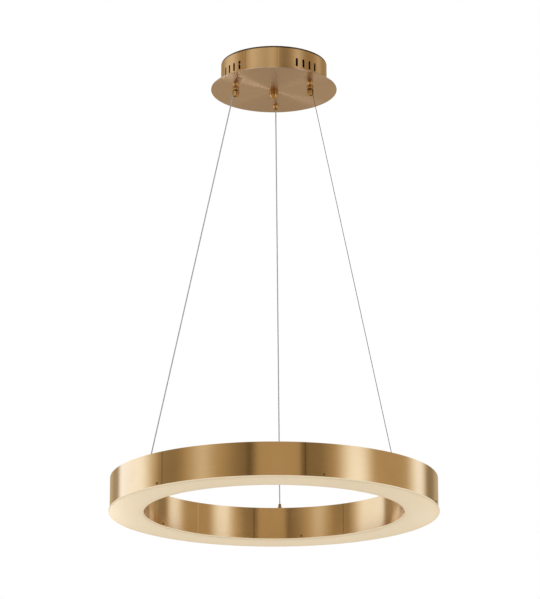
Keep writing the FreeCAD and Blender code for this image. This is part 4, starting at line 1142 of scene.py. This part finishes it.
SOFT_BOXES = {
    "box_left": (-50, 1.5), "box_right": (56, 1.5), "box_back_left": (-125, 1.5), "box_back_right": (117, 1.0)
}
for name, (azimuth, level) in SOFT_BOXES.items():
    box = area_light(name, azimuth, level, (1.6, 1.6), distance=3.2, height=0.2, aim_height=-0.6)
    box.visible_glossy = False
STRIPS = {"strip_low_left": (-160, 20), "strip_low_right": (161, 5)}
for name, (azimuth, level) in STRIPS.items():
    strip = area_light(name, azimuth, level, (0.035, 0.3), distance=1.2, height=-1.1, aim_height=-0.05)
    strip.data.color = (1.0, 0.9, 0.74)
print("soft boxes", len(SOFT_BOXES), "strips", len(STRIPS))

# %% [markdown]
# ## Studio wall
# Polished metal shows the room more than itself. In a studio pale and dark cards stand round a lamp,
# and its bands show them as soft upright stretches. Cards could be placed one by one. One round wall
# that only reflections see is quicker to tune: its brightness is a sum of soft stretches by heading,
# and a number in the list shifts a reflection.

# %% Wall that only reflections see
WALL_RADIUS, WALL_SIDES, WALL_FOOT, WALL_TOP = 1.3, 120, -2.3, 1.5
turns = [2 * math.pi * side / WALL_SIDES for side in range(WALL_SIDES)]
wall_mesh = bpy.data.meshes.new("studio_wall")
wall_mesh.from_pydata(
    [(WALL_RADIUS * math.cos(a), WALL_RADIUS * math.sin(a), z) for z in (WALL_FOOT, WALL_TOP) for a in turns],
    [],
    [(i, (i + 1) % WALL_SIDES, WALL_SIDES + (i + 1) % WALL_SIDES, WALL_SIDES + i) for i in range(WALL_SIDES)],
)
wall = in_scene("studio_wall", wall_mesh)
wall.visible_camera = wall.visible_diffuse = wall.visible_shadow = wall.visible_transmission = False
cloth = Board(
    bpy.data.materials.new("studio_wall_cloth"), Emission_Strength=2.0, Roughness=1.0,
    Base_Color=rgb(0, 0, 0), Specular_IOR_Level=0.0,
)
wall_x, wall_y, wall_z = cloth.parts(cloth.place())
heading = wall_x.maths("ARCTAN2", wall_y * -1.0) * math.degrees(1.0) - math.degrees(TWIST)
wall_mesh.materials.append(cloth.owner)
print("wall of", WALL_SIDES, "sides at", WALL_RADIUS, "m")

# %% Stretches of light and shade
# Each row is a stretch in degrees from the camera towards +X, how soft its two ends are, and how much
# it adds to the level.
STRETCHES = (
    (-141, -126, 4, 3, -0.12), (-125, -87, 3, 9, 0.98), (-78.5, -76.5, 0.5, 0.5, -0.12),
    (-77, -59, 2, 5, -0.18), (-50, -40, 8, 8, 0.42), (-26, -11, 9, 2, -0.24),
    (-16.5, -13.5, 0.5, 0.5, -0.10), (16.3, 33, 1, 6, -0.22), (16.3, 20, 1, 2, -0.10),
    (43, 61, 7, 7, 0.95), (100, 117, 8, 5, 0.85), (121, 137, 3, 6, -0.20),
)
PLAIN_LEVEL = 0.42


def stretch(low, high, low_soft, high_soft):
    """One between two headings and nought outside them."""
    rise = heading.step(low - low_soft, low + low_soft)
    return rise * heading.step(high - high_soft, high + high_soft, 1.0, 0.0)


level = 0.0
for low, high, low_soft, high_soft, amount in STRETCHES:
    level = level + stretch(low, high, low_soft, high_soft) * amount
upper = wall_z.step(0.0, 0.25)
level = level * wall_z.step(-1.5, -1.1) * (1.0 - upper * 0.65) + PLAIN_LEVEL
level = level + stretch(-60, 4, 6, 4) * upper * 0.45 - stretch(8, 125, 4, 10) * upper * 0.18
print("stretches", len(STRETCHES), "on a plain level of", PLAIN_LEVEL)

# %% [markdown]
# Dim gold looks browner and bright gold looks whiter than one tint times a number can give. So the
# level runs through a ramp of colours from warm and dark to cool and pale. The ramp takes the level at
# half its size, since it ends at one, and the wall's Emission Strength of 2 doubles it again.

# %% Colour of the wall
shade = cloth.add("ShaderNodeValToRGB", sockets={"Fac": level * 0.5}, stops=(
    (0.0, rgb(0.030, 0.020, 0.008)), (0.8, rgb(0.70, 0.80, 0.95)),
    (0.21, rgb(0.266, 0.210, 0.126)), (0.435, rgb(0.448, 0.435, 0.385)),
))
cloth.paint(Emission_Color=shade)
print("the ramp has", len(shade.socket.node.color_ramp.elements), "stops")

# %% [markdown]
# ## World
# The background is plain white, and metal and clear jackets should show it too. A white world would
# also flood the lamp with light. Light Path tells which kind of ray asks: camera, glossy and
# transmission rays get white, and all others a dimmer grey that lights the lamp at a plain level.

# %% White background, plain light
world = bpy.data.worlds.new("studio")
bpy.context.scene.world = world
sky = Board(world, shader="BACKGROUND")
seen = sky.add("ShaderNodeLightPath", out="Is Camera Ray")
for kind in ("Is Glossy Ray", "Is Transmission Ray"):
    seen = seen.maths("MAXIMUM", sky.add("ShaderNodeLightPath", out=kind))
sky.paint(Color=sky.blend(seen, rgb(0.46, 0.45, 0.43), rgb(1.0, 1.0, 1.0)))
print("world nodes", len(world.node_tree.nodes))
